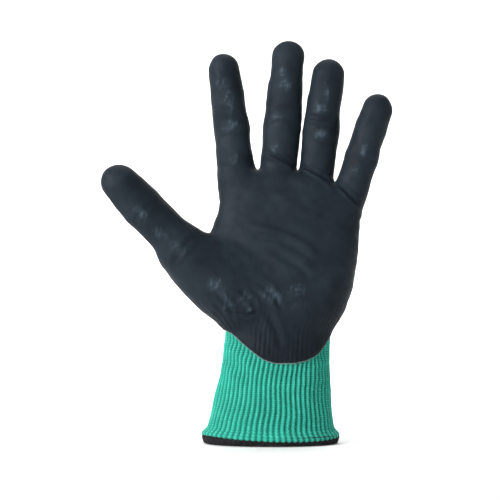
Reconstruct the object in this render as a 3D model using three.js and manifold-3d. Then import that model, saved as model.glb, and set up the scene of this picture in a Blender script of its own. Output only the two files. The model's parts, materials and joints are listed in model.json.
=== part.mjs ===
// Cut resistant glove for the left hand, about a size 9: a seamless knit liner with a long ribbed
// cuff, a coating dipped over the palm side, an overlocked hem and elastic yarns laid into the cuff.
// The glove keeps the shape of a flat, open hand, and each finger bends where a hand bends.
//
// Sizes are in millimetres. The origin is the centre of the wrist opening, in the plane of the hem's
// lower edge. +Z runs to the fingertips, -Y faces out of the palm and +X runs to the little finger.
import * as THREE from "three";
import { mergeVertices } from "three/addons/utils/BufferGeometryUtils.js";
import Module from "manifold-3d";

// ---- Driving dimensions -------------------------------------------------------------------------

const KNIT_WALL = 1.2; // thickness of the knit
const COATING_WALL = 0.9; // thickness of the dipped coating
const LAYER_GAP = 0.3; // clearance between the knit and the coating on it
const SEAM_GAP = 0.3; // clearance between two pieces that follow each other along the hand
const HINGE_GAP = 0.35; // clearance on each side of a finger's bending line

const HEM_HEIGHT = 5; // the overlocked edge, from its lower edge to its top
const HEM_WALL = 1.1; // thread lying on each face of the knit
const HEM_FLOOR = 1.2; // thread under the knit's edge
const CUFF_TOP = 72; // where the rib ends and the plain knit begins
const PALM_TOP = 168; // the webs between the fingers

const ELASTIC_YARN = 0.9;
const ELASTIC_HEIGHTS = [16, 32, 48, 64];

const HINGE_DEPTH = 4; // how far a bending line lies from the finger's middle, towards the palm
const BEND_BACK = 10; // degrees that a finger's root bends backwards
const AXIS_SHARE = 0.4; // how much of a finger's lean its bending lines take
const COATED_BACK = 0.42; // the coating's edge, as a share of a finger's half depth behind its middle
const TIP_CAP = 9; // length of the coating all round a fingertip

const CUFF_HEIGHTS = [42, 52, 61]; // rings of the cuff under the coating
const HAND_HEIGHTS = [78, 84, 92, 100, 112, 125, 137, 149, 160]; // rings of the palm

const RING_SIDES = 36; // round the palm and the cuff
const DIGIT_SIDES = 16; // round a finger
const BAND_MIDDLE = 8; // a place across the hand that is inside its outline at every height

// The palm and cuff: height, thumb side, little finger side, palm side and back of the hand.
const HAND_SECTIONS = [
  { z: 0, left: -41.5, right: 41.0, front: -26.5, back: 26.5 },
  { z: 6, left: -42.0, right: 41.0, front: -26.5, back: 26.5 },
  { z: 14, left: -39.0, right: 38.8, front: -25.0, back: 25.0 },
  { z: 30, left: -34.8, right: 37.4, front: -23.5, back: 23.5 },
  { z: 52, left: -30.0, right: 36.3, front: -22.0, back: 22.0 },
  { z: 70, left: -28.0, right: 36.8, front: -21.5, back: 20.5 },
  { z: 84, left: -28.6, right: 44.0, front: -21.5, back: 19.0 },
  { z: 100, left: -30.0, right: 48.8, front: -19.5, back: 17.5 },
  { z: 125, left: -30.9, right: 52.6, front: -15.5, back: 16.5 },
  { z: 145, left: -31.0, right: 54.2, front: -13.0, back: 15.0 },
  { z: 157, left: -31.0, right: 48.0, front: -11.5, back: 13.5 },
  { z: 163, left: -30.9, right: 38.5, front: -10.5, back: 12.5 },
  { z: 175, left: -30.5, right: 35.0, front: -9.0, back: 11.0 },
];

// The ball of the thumb, from deep in the palm to the thumb's root.
const THENAR = {
  from: [-20, -6, 88],
  to: [-53.6, -10, 121],
  radii: [17, 20, 15.6, 13.9],
};

// A finger leans from +Z towards +X, in degrees. Its joints lie at these distances from its root
// plane, and its widths over the coating are those at the root, the middle and last joint and the tip.
const FINGERS = [
  {
    name: "index",
    root: [-21.3, 1, 171],
    lean: -7.2,
    joints: [5.5, 24.5, 46.5],
    length: 71.5,
    widths: [23.9, 22.2, 20.9, 19.4],
  },
  {
    name: "middle",
    root: [4.9, 1, 171.5],
    lean: 4.9,
    joints: [5.5, 27.5, 51],
    length: 79,
    widths: [22.8, 23.8, 21.6, 19.8],
  },
  {
    name: "ring",
    root: [28.6, 1, 168.4],
    lean: 6.6,
    joints: [5.5, 25, 47],
    length: 71.2,
    widths: [22.1, 22.8, 21.3, 19.6],
  },
  {
    name: "little",
    root: [50.8, 1, 159],
    lean: 17.4,
    joints: [5.5, 21.5, 38.5],
    length: 60.8,
    widths: [21.8, 20.6, 20, 18.6],
  },
];
const FINGER_BENDS = [60, 85, 51]; // degrees, at the root, middle and last joints
const FINGER_DEPTH = 0.88; // a finger's depth, as a share of its width
const FINGER_CURL = [1, 3, 4, 4]; // degrees that each stretch of a finger turns towards the palm

const THUMB = {
  name: "thumb",
  root: [-53.6, -10, 121],
  tip: [-102.2, -22, 169.3],
  turned: 38, // degrees that the thumb's pad is turned from the palm's front towards the fingers
  joints: [8, 37],
  widths: [28.4, 27.2, 23],
};
const THUMB_BENDS = [45, 70];
const THUMB_DEPTH = 0.86;
const THUMB_CURL = [0, 0, 5];

const KNIT_GREEN = { color: 0x2fab93, roughness: 0.85, metalness: 0 };
const COATING_BLACK = { color: 0x2a3138, roughness: 0.55, metalness: 0 };
const HEM_BLACK = { color: 0x1d1d20, roughness: 0.9, metalness: 0 };
const ELASTIC_WHITE = { color: 0xd9d8cf, roughness: 0.6, metalness: 0 };

// ---- Solids from grids of points ----------------------------------------------------------------

const wasm = await Module();
wasm.setup();

const vector = (p) => new THREE.Vector3(...p);
const tan = (degrees) => Math.tan(THREE.MathUtils.degToRad(degrees));

// A geometry from points and triangles, with its faces turned outwards.
function geometryOf(points, triangles) {
  const geometry = new THREE.BufferGeometry().setFromPoints(points);
  let volume = 0;
  for (const [a, b, c] of triangles)
    volume += points[a].dot(points[b].clone().cross(points[c]));
  const faces = volume < 0 ? triangles.map(([a, b, c]) => [a, c, b]) : triangles;
  return geometry.setIndex(faces.flat());
}

// Two triangles between the columns j and next of a ring and the ring after it.
function quad(at, i, j, nextRow, nextColumn) {
  return [
    [at(i, j), at(nextRow, j), at(nextRow, nextColumn)],
    [at(i, j), at(nextRow, nextColumn), at(i, nextColumn)],
  ];
}

// A ring-shaped solid: a closed outline of `around` places, each with a closed profile of `profile`
// points. pointAt(i, j) gives the point j of the profile at the place i.
function ringSolid(around, profile, pointAt) {
  const points = [];
  for (let i = 0; i < around; i++)
    for (let j = 0; j < profile; j++) points.push(pointAt(i, j));
  const at = (i, j) => i * profile + j;
  const triangles = [];
  for (let i = 0; i < around; i++)
    for (let j = 0; j < profile; j++)
      triangles.push(...quad(at, i, j, (i + 1) % around, (j + 1) % profile));
  return geometryOf(points, triangles);
}

// A solid closed at both ends by a pole: rows of `around` points between the poles `first` and `last`.
function poleSolid(around, rows, pointAt, first, last) {
  const points = [];
  for (let j = 0; j < rows; j++)
    for (let i = 0; i < around; i++) points.push(pointAt(i, j));
  const firstPole = points.push(first) - 1;
  const lastPole = points.push(last) - 1;
  const at = (j, i) => j * around + i;
  const triangles = [];
  for (let i = 0; i < around; i++) {
    const next = (i + 1) % around;
    for (let j = 0; j < rows - 1; j++) triangles.push(...quad(at, j, i, j + 1, next));
    triangles.push([firstPole, at(0, i), at(0, next)]);
    triangles.push([lastPole, at(rows - 1, next), at(rows - 1, i)]);
  }
  return geometryOf(points, triangles);
}

// ---- Joining and cutting ------------------------------------------------------------------------

function solidOf(geometry) {
  const bare = geometry.clone();
  bare.deleteAttribute("normal");
  bare.deleteAttribute("uv");
  const merged = mergeVertices(bare, 1e-4);
  return new wasm.Manifold(
    new wasm.Mesh({
      numProp: 3,
      vertProperties: new Float32Array(merged.attributes.position.array),
      triVerts: new Uint32Array(merged.index.array),
    }),
  );
}

function geometryFrom(solid) {
  const mesh = solid.simplify(0.01).getMesh();
  return new THREE.BufferGeometry()
    .setAttribute("position", new THREE.BufferAttribute(mesh.vertProperties, 3))
    .setIndex(new THREE.BufferAttribute(mesh.triVerts, 1));
}

// The largest body of a solid, without the crumbs that a cut leaves.
function largest(solid) {
  return solid.decompose().reduce((a, b) => (b.volume() > a.volume() ? b : a));
}

const joined = (solids) => solids.reduce((a, b) => a.add(b)).simplify(0.05);

// ---- The hand's section -------------------------------------------------------------------------

const sectionHeights = HAND_SECTIONS.map((s) => s.z);
const sectionSides = new THREE.CubicInterpolant(
  sectionHeights,
  HAND_SECTIONS.flatMap((s) => [s.left, s.right, s.front, s.back]),
  4,
);

// A point of the hand's outline at a height, turned `angle` from +X, `grow` outside the knit's face.
function handPoint(z, angle, grow) {
  const [left, right, front, back] = sectionSides.evaluate(z);
  const palmShare = THREE.MathUtils.smoothstep(z, 60, 110);
  const power = 2 / THREE.MathUtils.lerp(2.1, 2.6, palmShare);
  const [c, s] = [Math.cos(angle), Math.sin(angle)];
  const halfDepth = s < 0 ? -front : back;
  return new THREE.Vector3(
    (left + right) / 2 + ((right - left) / 2 + grow) * Math.sign(c) * Math.abs(c) ** power,
    (halfDepth + grow) * Math.sign(s) * Math.abs(s) ** power,
    z,
  );
}

const ringAngle = (i) => (2 * Math.PI * i) / RING_SIDES;

// A band of the hand's outline, from a list of [outside the knit's face, height] profile points.
function handBand(profile) {
  return ringSolid(RING_SIDES, profile.length, (i, j) => {
    const [grow, z] = profile[j];
    return handPoint(z, ringAngle(i), grow);
  });
}

// A stretch of the hand as a closed solid, from its outline at some heights.
function bandSolid(heights, grow) {
  const middle = (z) => handPoint(z, 0, 0).setY(0).setX(BAND_MIDDLE);
  return solidOf(
    poleSolid(
      RING_SIDES,
      heights.length,
      (i, j) => handPoint(heights[j], ringAngle(i), grow),
      middle(heights[0]),
      middle(heights.at(-1)),
    ),
  );
}

// The palm as a closed solid, without its thumb and fingers.
function palmSolid(grow, bottom, top) {
  return bandSolid([bottom, ...HAND_HEIGHTS, top], grow);
}

// ---- Fingers ------------------------------------------------------------------------------------

const digitAngle = (i) => (2 * Math.PI * i) / DIGIT_SIDES;

// The frame of each stretch of a digit, and its bending lines. `axis` is the direction of the lines.
function layOut(digit, start, axis, curl, bends, depthShare) {
  const marks = [-14, ...digit.joints, digit.length];
  const stretches = [];
  const hinges = [];
  const along = start.clone();
  const here = vector(digit.root);
  curl.forEach((turn, k) => {
    const last = stretches.at(-1);
    along.applyAxisAngle(axis, THREE.MathUtils.degToRad(turn));
    const side = axis.clone().addScaledVector(along, -axis.dot(along)).normalize();
    const palmward = side.clone().cross(along).normalize();
    if (last) {
      here.addScaledVector(last.along, marks[k] - Math.max(marks[k - 1], 0));
      const outwards = palmward.clone().add(last.palmward);
      outwards.addScaledVector(axis, -axis.dot(outwards)).normalize();
      hinges.push({
        at: here.clone().addScaledVector(outwards, HINGE_DEPTH),
        axis: axis.clone(),
        palmward: outwards,
        distal: outwards.clone().cross(axis).normalize(),
        bend: bends[k - 1],
        bendBack: k === 1 ? BEND_BACK : 0,
      });
    }
    stretches.push({
      origin: here.clone(),
      offset: last ? marks[k] : 0,
      along: along.clone(),
      side,
      palmward,
      from: marks[k],
      to: marks[k + 1],
    });
  });
  return { ...digit, stretches, hinges, depthShare };
}

function fingerLayout(finger) {
  const lean = THREE.MathUtils.degToRad(finger.lean);
  const start = new THREE.Vector3(Math.sin(lean), 0, Math.cos(lean));
  const turn = lean * AXIS_SHARE;
  const axis = new THREE.Vector3(Math.cos(turn), 0, -Math.sin(turn));
  return layOut(finger, start, axis, FINGER_CURL, FINGER_BENDS, FINGER_DEPTH);
}

function thumbLayout(thumb) {
  const run = vector(thumb.tip).sub(vector(thumb.root));
  const along = run.clone().normalize();
  const front = new THREE.Vector3(0, -1, 0).addScaledVector(along, along.y).normalize();
  const palmward = front.applyAxisAngle(along, THREE.MathUtils.degToRad(thumb.turned));
  const axis = along.clone().cross(palmward).normalize();
  const sized = { ...thumb, length: run.length() };
  return layOut(sized, along, axis, THUMB_CURL, THUMB_BENDS, THUMB_DEPTH);
}

// Half the width of a digit's knit at a distance from its root plane, before its tip rounds off.
function halfWidth(digit, distance) {
  const marks = [0, ...digit.joints.slice(1), digit.length];
  const widths = new THREE.LinearInterpolant(marks, digit.widths, 1);
  const coated = widths.evaluate(THREE.MathUtils.clamp(distance, 0, digit.length))[0];
  return coated / 2 - LAYER_GAP - COATING_WALL;
}

// A point of a digit's surface, `grow` outside the knit's face, at an angle from its palm side.
function digitPoint(digit, k, distance, angle, grow) {
  const stretch = digit.stretches[k];
  const plain = halfWidth(digit, distance);
  const dome = halfWidth(digit, digit.length);
  const past = Math.max(0, distance - (digit.length - dome)) / (dome + grow);
  const share = Math.sqrt(Math.max(0, 1 - past * past));
  return stretch.origin
    .clone()
    .addScaledVector(stretch.along, distance - stretch.offset)
    .addScaledVector(stretch.side, (plain + grow) * share * Math.sin(angle))
    .addScaledVector(stretch.palmward, (plain * digit.depthShare + grow) * share * Math.cos(angle));
}

// How far along a stretch its wall meets the bending line's clearance. `side` is -1 on the stretch
// before the line and 1 on the one after it.
function hingeEnd(digit, k, hinge, side, angle, grow) {
  const { along } = digit.stretches[k];
  let distance = side < 0 ? digit.stretches[k].to : digit.stretches[k].from;
  for (let pass = 0; pass < 3; pass++) {
    const place = digitPoint(digit, k, distance, angle, grow).sub(hinge.at);
    const [u, v] = [place.dot(hinge.distal), place.dot(hinge.palmward)];
    const steps = [tan(hinge.bend / 2), -tan(hinge.bendBack / 2)].map((slope) => {
      const run = along.dot(hinge.distal) - side * slope * along.dot(hinge.palmward);
      return (side * (HINGE_GAP + slope * v) - u) / run;
    });
    distance += side < 0 ? Math.min(...steps) : Math.max(...steps);
  }
  return distance;
}

// The ends of a stretch's wall at an angle: at its bending lines, or at the digit's tip.
function wallEnds(digit, k, angle, grow) {
  const [before, after] = [digit.hinges[k - 1], digit.hinges[k]];
  return [
    before ? hingeEnd(digit, k, before, 1, angle, grow) : digit.stretches[k].from,
    after ? hingeEnd(digit, k, after, -1, angle, grow) : digit.length - halfWidth(digit, digit.length),
  ];
}

// A stretch of a digit between two faces, both given as distances outside the knit's face: an open
// tube between two bending lines, or a stall closed at the tip.
function stretchGeometry(digit, k, inner, outer) {
  const isTip = k === digit.stretches.length - 1;
  const rise = [0, 0.5, 1];
  const domeTurns = isTip ? [25, 50, 72].map(THREE.MathUtils.degToRad) : [];
  const dome = halfWidth(digit, digit.length);
  const face = (angle, grow) => {
    const [from, to] = wallEnds(digit, k, angle, grow);
    return [
      ...rise.map((share) => THREE.MathUtils.lerp(from, to, share)),
      ...domeTurns.map((turn) => digit.length - dome + (dome + grow) * Math.sin(turn)),
    ].map((distance) => digitPoint(digit, k, distance, angle, grow));
  };
  const loop = (angle) => [...face(angle, outer).reverse(), ...face(angle, inner)];
  const loops = Array.from({ length: DIGIT_SIDES }, (_, i) => loop(digitAngle(i)));
  if (!isTip) return ringSolid(DIGIT_SIDES, loops[0].length, (i, j) => loops[i][j]);
  return poleSolid(
    DIGIT_SIDES,
    loops[0].length,
    (i, j) => loops[i][j],
    digitPoint(digit, k, digit.length + outer, 0, outer),
    digitPoint(digit, k, digit.length + inner, 0, inner),
  );
}

// The root of a digit as a closed solid, from inside the palm to its first bending line. `extra`
// lengthens it, so that a hollow cut with it breaks through.
function rootSolid(digit, grow, extra) {
  const start = digit.stretches[0].from - grow;
  const rows = (angle) => {
    const to = wallEnds(digit, 0, angle, grow)[1];
    return [start, 0, to + extra].map((distance) => digitPoint(digit, 0, distance, angle, grow));
  };
  const loops = Array.from({ length: DIGIT_SIDES }, (_, i) => rows(digitAngle(i)));
  const { along } = digit.stretches[0];
  const middle = vector(digit.root);
  const end = digit.joints[0] - HINGE_GAP - tan(BEND_BACK / 2) * HINGE_DEPTH + extra;
  return solidOf(
    poleSolid(
      DIGIT_SIDES,
      3,
      (i, j) => loops[i][j],
      middle.clone().addScaledVector(along, start),
      middle.clone().addScaledVector(along, end),
    ),
  );
}

// The ball of the thumb as a closed solid: a round body along a straight line.
function thenarSolid(grow) {
  const [from, to] = [vector(THENAR.from), vector(THENAR.to)];
  const along = to.clone().sub(from);
  const length = along.length();
  const shares = [0, 0.35, 0.75, 1];
  const height = (share) => THREE.MathUtils.lerp(-grow, length + grow, share);
  const profile = [
    new THREE.Vector2(0, height(0)),
    ...shares.map((share, k) => new THREE.Vector2(THENAR.radii[k] + grow, height(share))),
    new THREE.Vector2(0, height(1)),
  ];
  const turn = new THREE.Quaternion().setFromUnitVectors(
    new THREE.Vector3(0, 1, 0),
    along.clone().normalize(),
  );
  const lathe = new THREE.LatheGeometry(profile, 20).applyQuaternion(turn).translate(...from);
  return solidOf(lathe);
}

// ---- Pieces -------------------------------------------------------------------------------------

const fingers = FINGERS.map(fingerLayout);
const thumb = thumbLayout(THUMB);
const digits = [thumb, ...fingers];

// The whole hand as one closed solid: palm, ball of the thumb, and the root of each digit.
function wholeHand(grow, extra) {
  return joined([
    palmSolid(grow, CUFF_TOP + SEAM_GAP / 2 - extra, PALM_TOP + grow),
    thenarSolid(grow),
    ...digits.map((digit) => rootSolid(digit, grow, extra)),
  ]);
}

// Everything below the rib's top, which the ball of the thumb reaches into.
function belowCuffTop() {
  const [width, depth, height] = [200, 120, 60]; // larger than the hand
  const block = new THREE.BoxGeometry(width, depth, height);
  return solidOf(block.translate(0, 0, CUFF_TOP + (SEAM_GAP - height) / 2));
}

function knitHand() {
  const hollow = wholeHand(-KNIT_WALL, 2);
  return geometryFrom(largest(wholeHand(0, 0).subtract(hollow).subtract(belowCuffTop())));
}

// The palm side of the hand, behind which the knit is left bare.
function palmSide() {
  const back = 3;
  const plan = new THREE.Shape([
    new THREE.Vector2(-80, -60),
    new THREE.Vector2(90, -60),
    new THREE.Vector2(90, back),
    new THREE.Vector2(-26, back),
    new THREE.Vector2(-58, -7),
    new THREE.Vector2(-80, -14),
  ]);
  return solidOf(new THREE.ExtrudeGeometry(plan, { depth: 230, bevelEnabled: false }));
}

// The region above the coating's lower edge, which dips to a round tongue over the wrist.
function aboveTongue() {
  const [side, tongue, middle] = [74, 51, 5];
  const outline = new THREE.Shape();
  outline.moveTo(-90, side);
  outline.lineTo(-30, side);
  outline.bezierCurveTo(-20, 68, -14, tongue, middle, tongue);
  outline.bezierCurveTo(26, tongue, 33, 60, 40, side);
  outline.lineTo(90, side);
  outline.lineTo(90, 230);
  outline.lineTo(-90, 230);
  const block = new THREE.ExtrudeGeometry(outline, {
    depth: 120,
    bevelEnabled: false,
    curveSegments: 8,
  });
  return solidOf(block.rotateX(Math.PI / 2).translate(0, 60, 0));
}

// The coating's body on the hand also covers the top of the cuff, so it starts lower than the palm.
function coatingHand() {
  const [near, far] = [LAYER_GAP, LAYER_GAP + COATING_WALL];
  const cuff = (grow, extra) => bandSolid([...CUFF_HEIGHTS, CUFF_TOP + 1 + extra], grow);
  const outside = joined([wholeHand(far, 0), cuff(far, 0)]);
  const inside = joined([wholeHand(near, 2), cuff(near, 2)]);
  return geometryFrom(
    largest(outside.subtract(inside).intersect(palmSide()).intersect(aboveTongue())),
  );
}

// The back of a stretch, which the coating leaves bare. On the last stretch the tip stays covered.
function bareBack(digit, k) {
  const stretch = digit.stretches[k];
  const isTip = k === digit.stretches.length - 1;
  const [from, to] = [stretch.from - 8, isTip ? digit.length - TIP_CAP : stretch.to + 8];
  const half = halfWidth(digit, (stretch.from + stretch.to) / 2) * digit.depthShare;
  const block = new THREE.BoxGeometry(60, 30, to - from);
  block.translate(0, 15 + half * COATED_BACK, (from + to) / 2 - stretch.offset);
  const basis = new THREE.Matrix4().makeBasis(
    stretch.side,
    stretch.palmward.clone().negate(),
    stretch.along,
  );
  return solidOf(block.applyMatrix4(basis).translate(...stretch.origin));
}

function coatingStretch(digit, k) {
  const [near, far] = [LAYER_GAP, LAYER_GAP + COATING_WALL];
  const shell = solidOf(stretchGeometry(digit, k, near, far));
  return geometryFrom(largest(shell.subtract(bareBack(digit, k))));
}

function knitCuff() {
  const heights = [HEM_FLOOR + SEAM_GAP, 6, 14, 28, ...CUFF_HEIGHTS, CUFF_TOP - SEAM_GAP / 2];
  return handBand([
    ...heights.map((z) => [0, z]),
    ...heights.toReversed().map((z) => [-KNIT_WALL, z]),
  ]);
}

// The overlocked edge: thread round the knit's lower edge, in a channel's shape.
function overlockedHem() {
  const [out, over] = [SEAM_GAP, SEAM_GAP + HEM_WALL];
  return handBand([
    [-KNIT_WALL - over, 0],
    [over, 0],
    [over, HEM_HEIGHT],
    [out, HEM_HEIGHT],
    [out, HEM_FLOOR],
    [-KNIT_WALL - out, HEM_FLOOR],
    [-KNIT_WALL - out, HEM_HEIGHT],
    [-KNIT_WALL - over, HEM_HEIGHT],
  ]);
}

function elasticYarn(z) {
  const [near, far] = [-KNIT_WALL - SEAM_GAP, -KNIT_WALL - SEAM_GAP - ELASTIC_YARN];
  const half = ELASTIC_YARN / 2;
  return handBand([
    [near, z - half],
    [near, z + half],
    [far, z + half],
    [far, z - half],
  ]);
}

// ---- The glove ----------------------------------------------------------------------------------

const glove = new THREE.Group();

function addPiece(name, geometry, look) {
  const mesh = new THREE.Mesh(geometry, new THREE.MeshStandardMaterial(look));
  mesh.name = name;
  glove.add(mesh);
}

const stretchNames = (digit) =>
  digit.stretches.length === 3 ? ["proximal", "distal"] : ["proximal", "middle", "distal"];

addPiece("hem_overlock", overlockedHem(), HEM_BLACK);
addPiece("knit_cuff", knitCuff(), KNIT_GREEN);
ELASTIC_HEIGHTS.forEach((z, n) => addPiece(`cuff_elastic_${n + 1}`, elasticYarn(z), ELASTIC_WHITE));
addPiece("knit_hand", knitHand(), KNIT_GREEN);
addPiece("coating_palm", coatingHand(), COATING_BLACK);
for (const digit of digits)
  stretchNames(digit).forEach((part, n) => {
    const k = n + 1;
    addPiece(`knit_${digit.name}_${part}`, stretchGeometry(digit, k, -KNIT_WALL, 0), KNIT_GREEN);
    addPiece(`coating_${digit.name}_${part}`, coatingStretch(digit, k), COATING_BLACK);
  });

export default glove;
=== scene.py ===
"""A cut resistant glove: seamless knit liner, ribbed cuff, overlocked hem and a dipped coating.

Lengths are in metres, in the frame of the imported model: the origin is the centre of the wrist
opening, +Z runs to the fingertips, -Y faces out of the palm and +X runs to the little finger.
"""
import json
import logging
import math
from dataclasses import dataclass, field
from enum import Enum

import bpy
import numpy as np
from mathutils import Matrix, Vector


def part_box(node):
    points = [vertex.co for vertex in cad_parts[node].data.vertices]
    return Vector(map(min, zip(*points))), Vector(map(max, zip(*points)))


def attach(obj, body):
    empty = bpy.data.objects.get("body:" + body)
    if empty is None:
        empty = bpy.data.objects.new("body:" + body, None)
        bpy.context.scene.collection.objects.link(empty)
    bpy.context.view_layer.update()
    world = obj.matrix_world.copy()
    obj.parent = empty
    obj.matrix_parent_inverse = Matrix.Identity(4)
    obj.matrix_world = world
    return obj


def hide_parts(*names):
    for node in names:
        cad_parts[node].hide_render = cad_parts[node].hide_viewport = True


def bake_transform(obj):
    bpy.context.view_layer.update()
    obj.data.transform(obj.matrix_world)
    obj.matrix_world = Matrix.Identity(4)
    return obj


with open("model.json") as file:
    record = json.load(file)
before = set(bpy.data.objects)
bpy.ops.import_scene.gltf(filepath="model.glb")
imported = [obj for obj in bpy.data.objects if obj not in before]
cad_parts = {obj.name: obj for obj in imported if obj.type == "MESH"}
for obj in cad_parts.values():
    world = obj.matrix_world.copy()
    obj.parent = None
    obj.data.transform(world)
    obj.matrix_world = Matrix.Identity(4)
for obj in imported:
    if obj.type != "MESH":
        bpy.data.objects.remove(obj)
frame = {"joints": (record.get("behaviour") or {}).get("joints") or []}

MM = 0.001
TURN = 2 * math.pi
HAND = "hand"
RIBS = 60
COURSE = 1.35 * MM
WALL = 1.2 * MM
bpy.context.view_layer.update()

log = logging.getLogger("glove")
Array = np.ndarray
Place = tuple[float, float, float]
Colour = tuple[float, float, float, float]
Socket = bpy.types.NodeSocket


class Slot(Enum):
    """The record's material slots."""

    LINER = "liner_knit"
    CUFF = "cuff_knit"
    COATING = "coating"
    HEM = "hem_thread"
    ELASTIC = "elastic"


# ---- Formulas -----------------------------------------------------------------------------------


def unit(vector: Array) -> Array:
    """Returns the vector at length 1."""
    return vector / np.linalg.norm(vector)


def ease(low: float, high: float, value: Array) -> Array:
    """Returns a smooth rise from 0 at low to 1 at high."""
    share = np.clip((value - low) / (high - low), 0, 1)
    return share * share * (3 - 2 * share)


def bump(value: Array, width: float) -> Array:
    """Returns a bell curve that is 1 at 0 and about 0.14 at width either side."""
    return np.exp(-2 * (value / width) ** 2)


def soft_min(a: Array, b: Array, reach: Array | float) -> Array:
    """Returns the smaller of two fields, rounded off where they are within reach of each other."""
    near = np.maximum(reach - np.abs(a - b), 0) / reach
    return np.minimum(a, b) - near * near * reach / 4


def turned(vector: Array, axis: Array, angle: float) -> Array:
    """Returns the vector turned about a unit axis by an angle in radians."""
    along = axis * (axis @ vector)
    return along + (vector - along) * math.cos(angle) + np.cross(axis, vector) * math.sin(angle)


@dataclass(frozen=True)
class Course:
    """A smooth curve of one value over another through a few points, with no overshoot."""

    at: tuple[float, ...]
    values: tuple[float, ...]

    def __call__(self, place: Array) -> Array:
        """Works out the value at each place.

        Args:
            place: Where the value is wanted. Beyond the ends the end value holds.

        Returns:
            The values, in the shape of place.
        """
        x, y = np.array(self.at), np.array(self.values)
        step = np.diff(x)
        slope = np.diff(y) / step
        tangent = np.zeros_like(y)
        same = slope[:-1] * slope[1:] > 0
        mean = 2 * slope[:-1] * slope[1:] / np.where(same, slope[:-1] + slope[1:], 1)
        tangent[1:-1] = np.where(same, mean, 0)
        tangent[0], tangent[-1] = slope[0], slope[-1]
        place = np.clip(place, x[0], x[-1])
        k = np.clip(np.searchsorted(x, place, side="right") - 1, 0, len(x) - 2)
        t = (place - x[k]) / step[k]
        rise = t * t * (3 - 2 * t)
        return (
            y[k] * (1 - rise)
            + y[k + 1] * rise
            + step[k] * t * (1 - t) * ((1 - t) * tangent[k] - t * tangent[k + 1])
        )


def in_metres(at: tuple[float, ...], values: tuple[float, ...]) -> Course:
    """Returns the course through points that are given in millimetres."""
    return Course(tuple(v * MM for v in at), tuple(v * MM for v in values))


@dataclass(frozen=True)
class Ripple:
    """A gentle uneven field made of a few crossing waves, the same on every run."""

    pitch: float
    seed: int = 1
    waves: int = 9

    def __call__(self, points: Array) -> Array:
        """Works out the field, about -1 to 1.

        Args:
            points: Places, one row each.

        Returns:
            One value per place.
        """
        draw = np.random.default_rng(self.seed)
        total = np.zeros(len(points))
        for _ in range(self.waves):
            way = unit(draw.normal(size=3))
            pitch = self.pitch * draw.uniform(0.7, 1.5)
            total += np.sin(points @ way * (TURN / pitch) + draw.uniform(0, TURN))
        return total / math.sqrt(self.waves)


# ---- The shape of the hand ----------------------------------------------------------------------


@dataclass(frozen=True)
class Stretch:
    """One straight length of a digit, from a bending line to the next."""

    origin: Array
    along: Array
    side: Array
    palmward: Array
    start: float
    body: str


@dataclass(frozen=True)
class DigitPattern:
    """The sizes that a digit is knitted to, in millimetres, and its last bend in degrees."""

    name: str
    widths: tuple[float, ...]
    length: float
    root_length: float = 5.5
    depth_share: float = 0.88
    last_turn: float = 4.0


DIGIT_PATTERNS = (
    DigitPattern("thumb", (27.6, 28.2, 23.4), 68.5, root_length=8, depth_share=0.86, last_turn=5),
    DigitPattern("index", (23.9, 22.2, 20.9, 19.4), 71.5),
    DigitPattern("middle", (22.8, 23.8, 21.6, 19.8), 78.6),
    DigitPattern("ring", (22.1, 22.8, 21.3, 19.6), 71.2),
    DigitPattern("little", (21.8, 20.6, 20, 18.6), 60.3),
)


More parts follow.
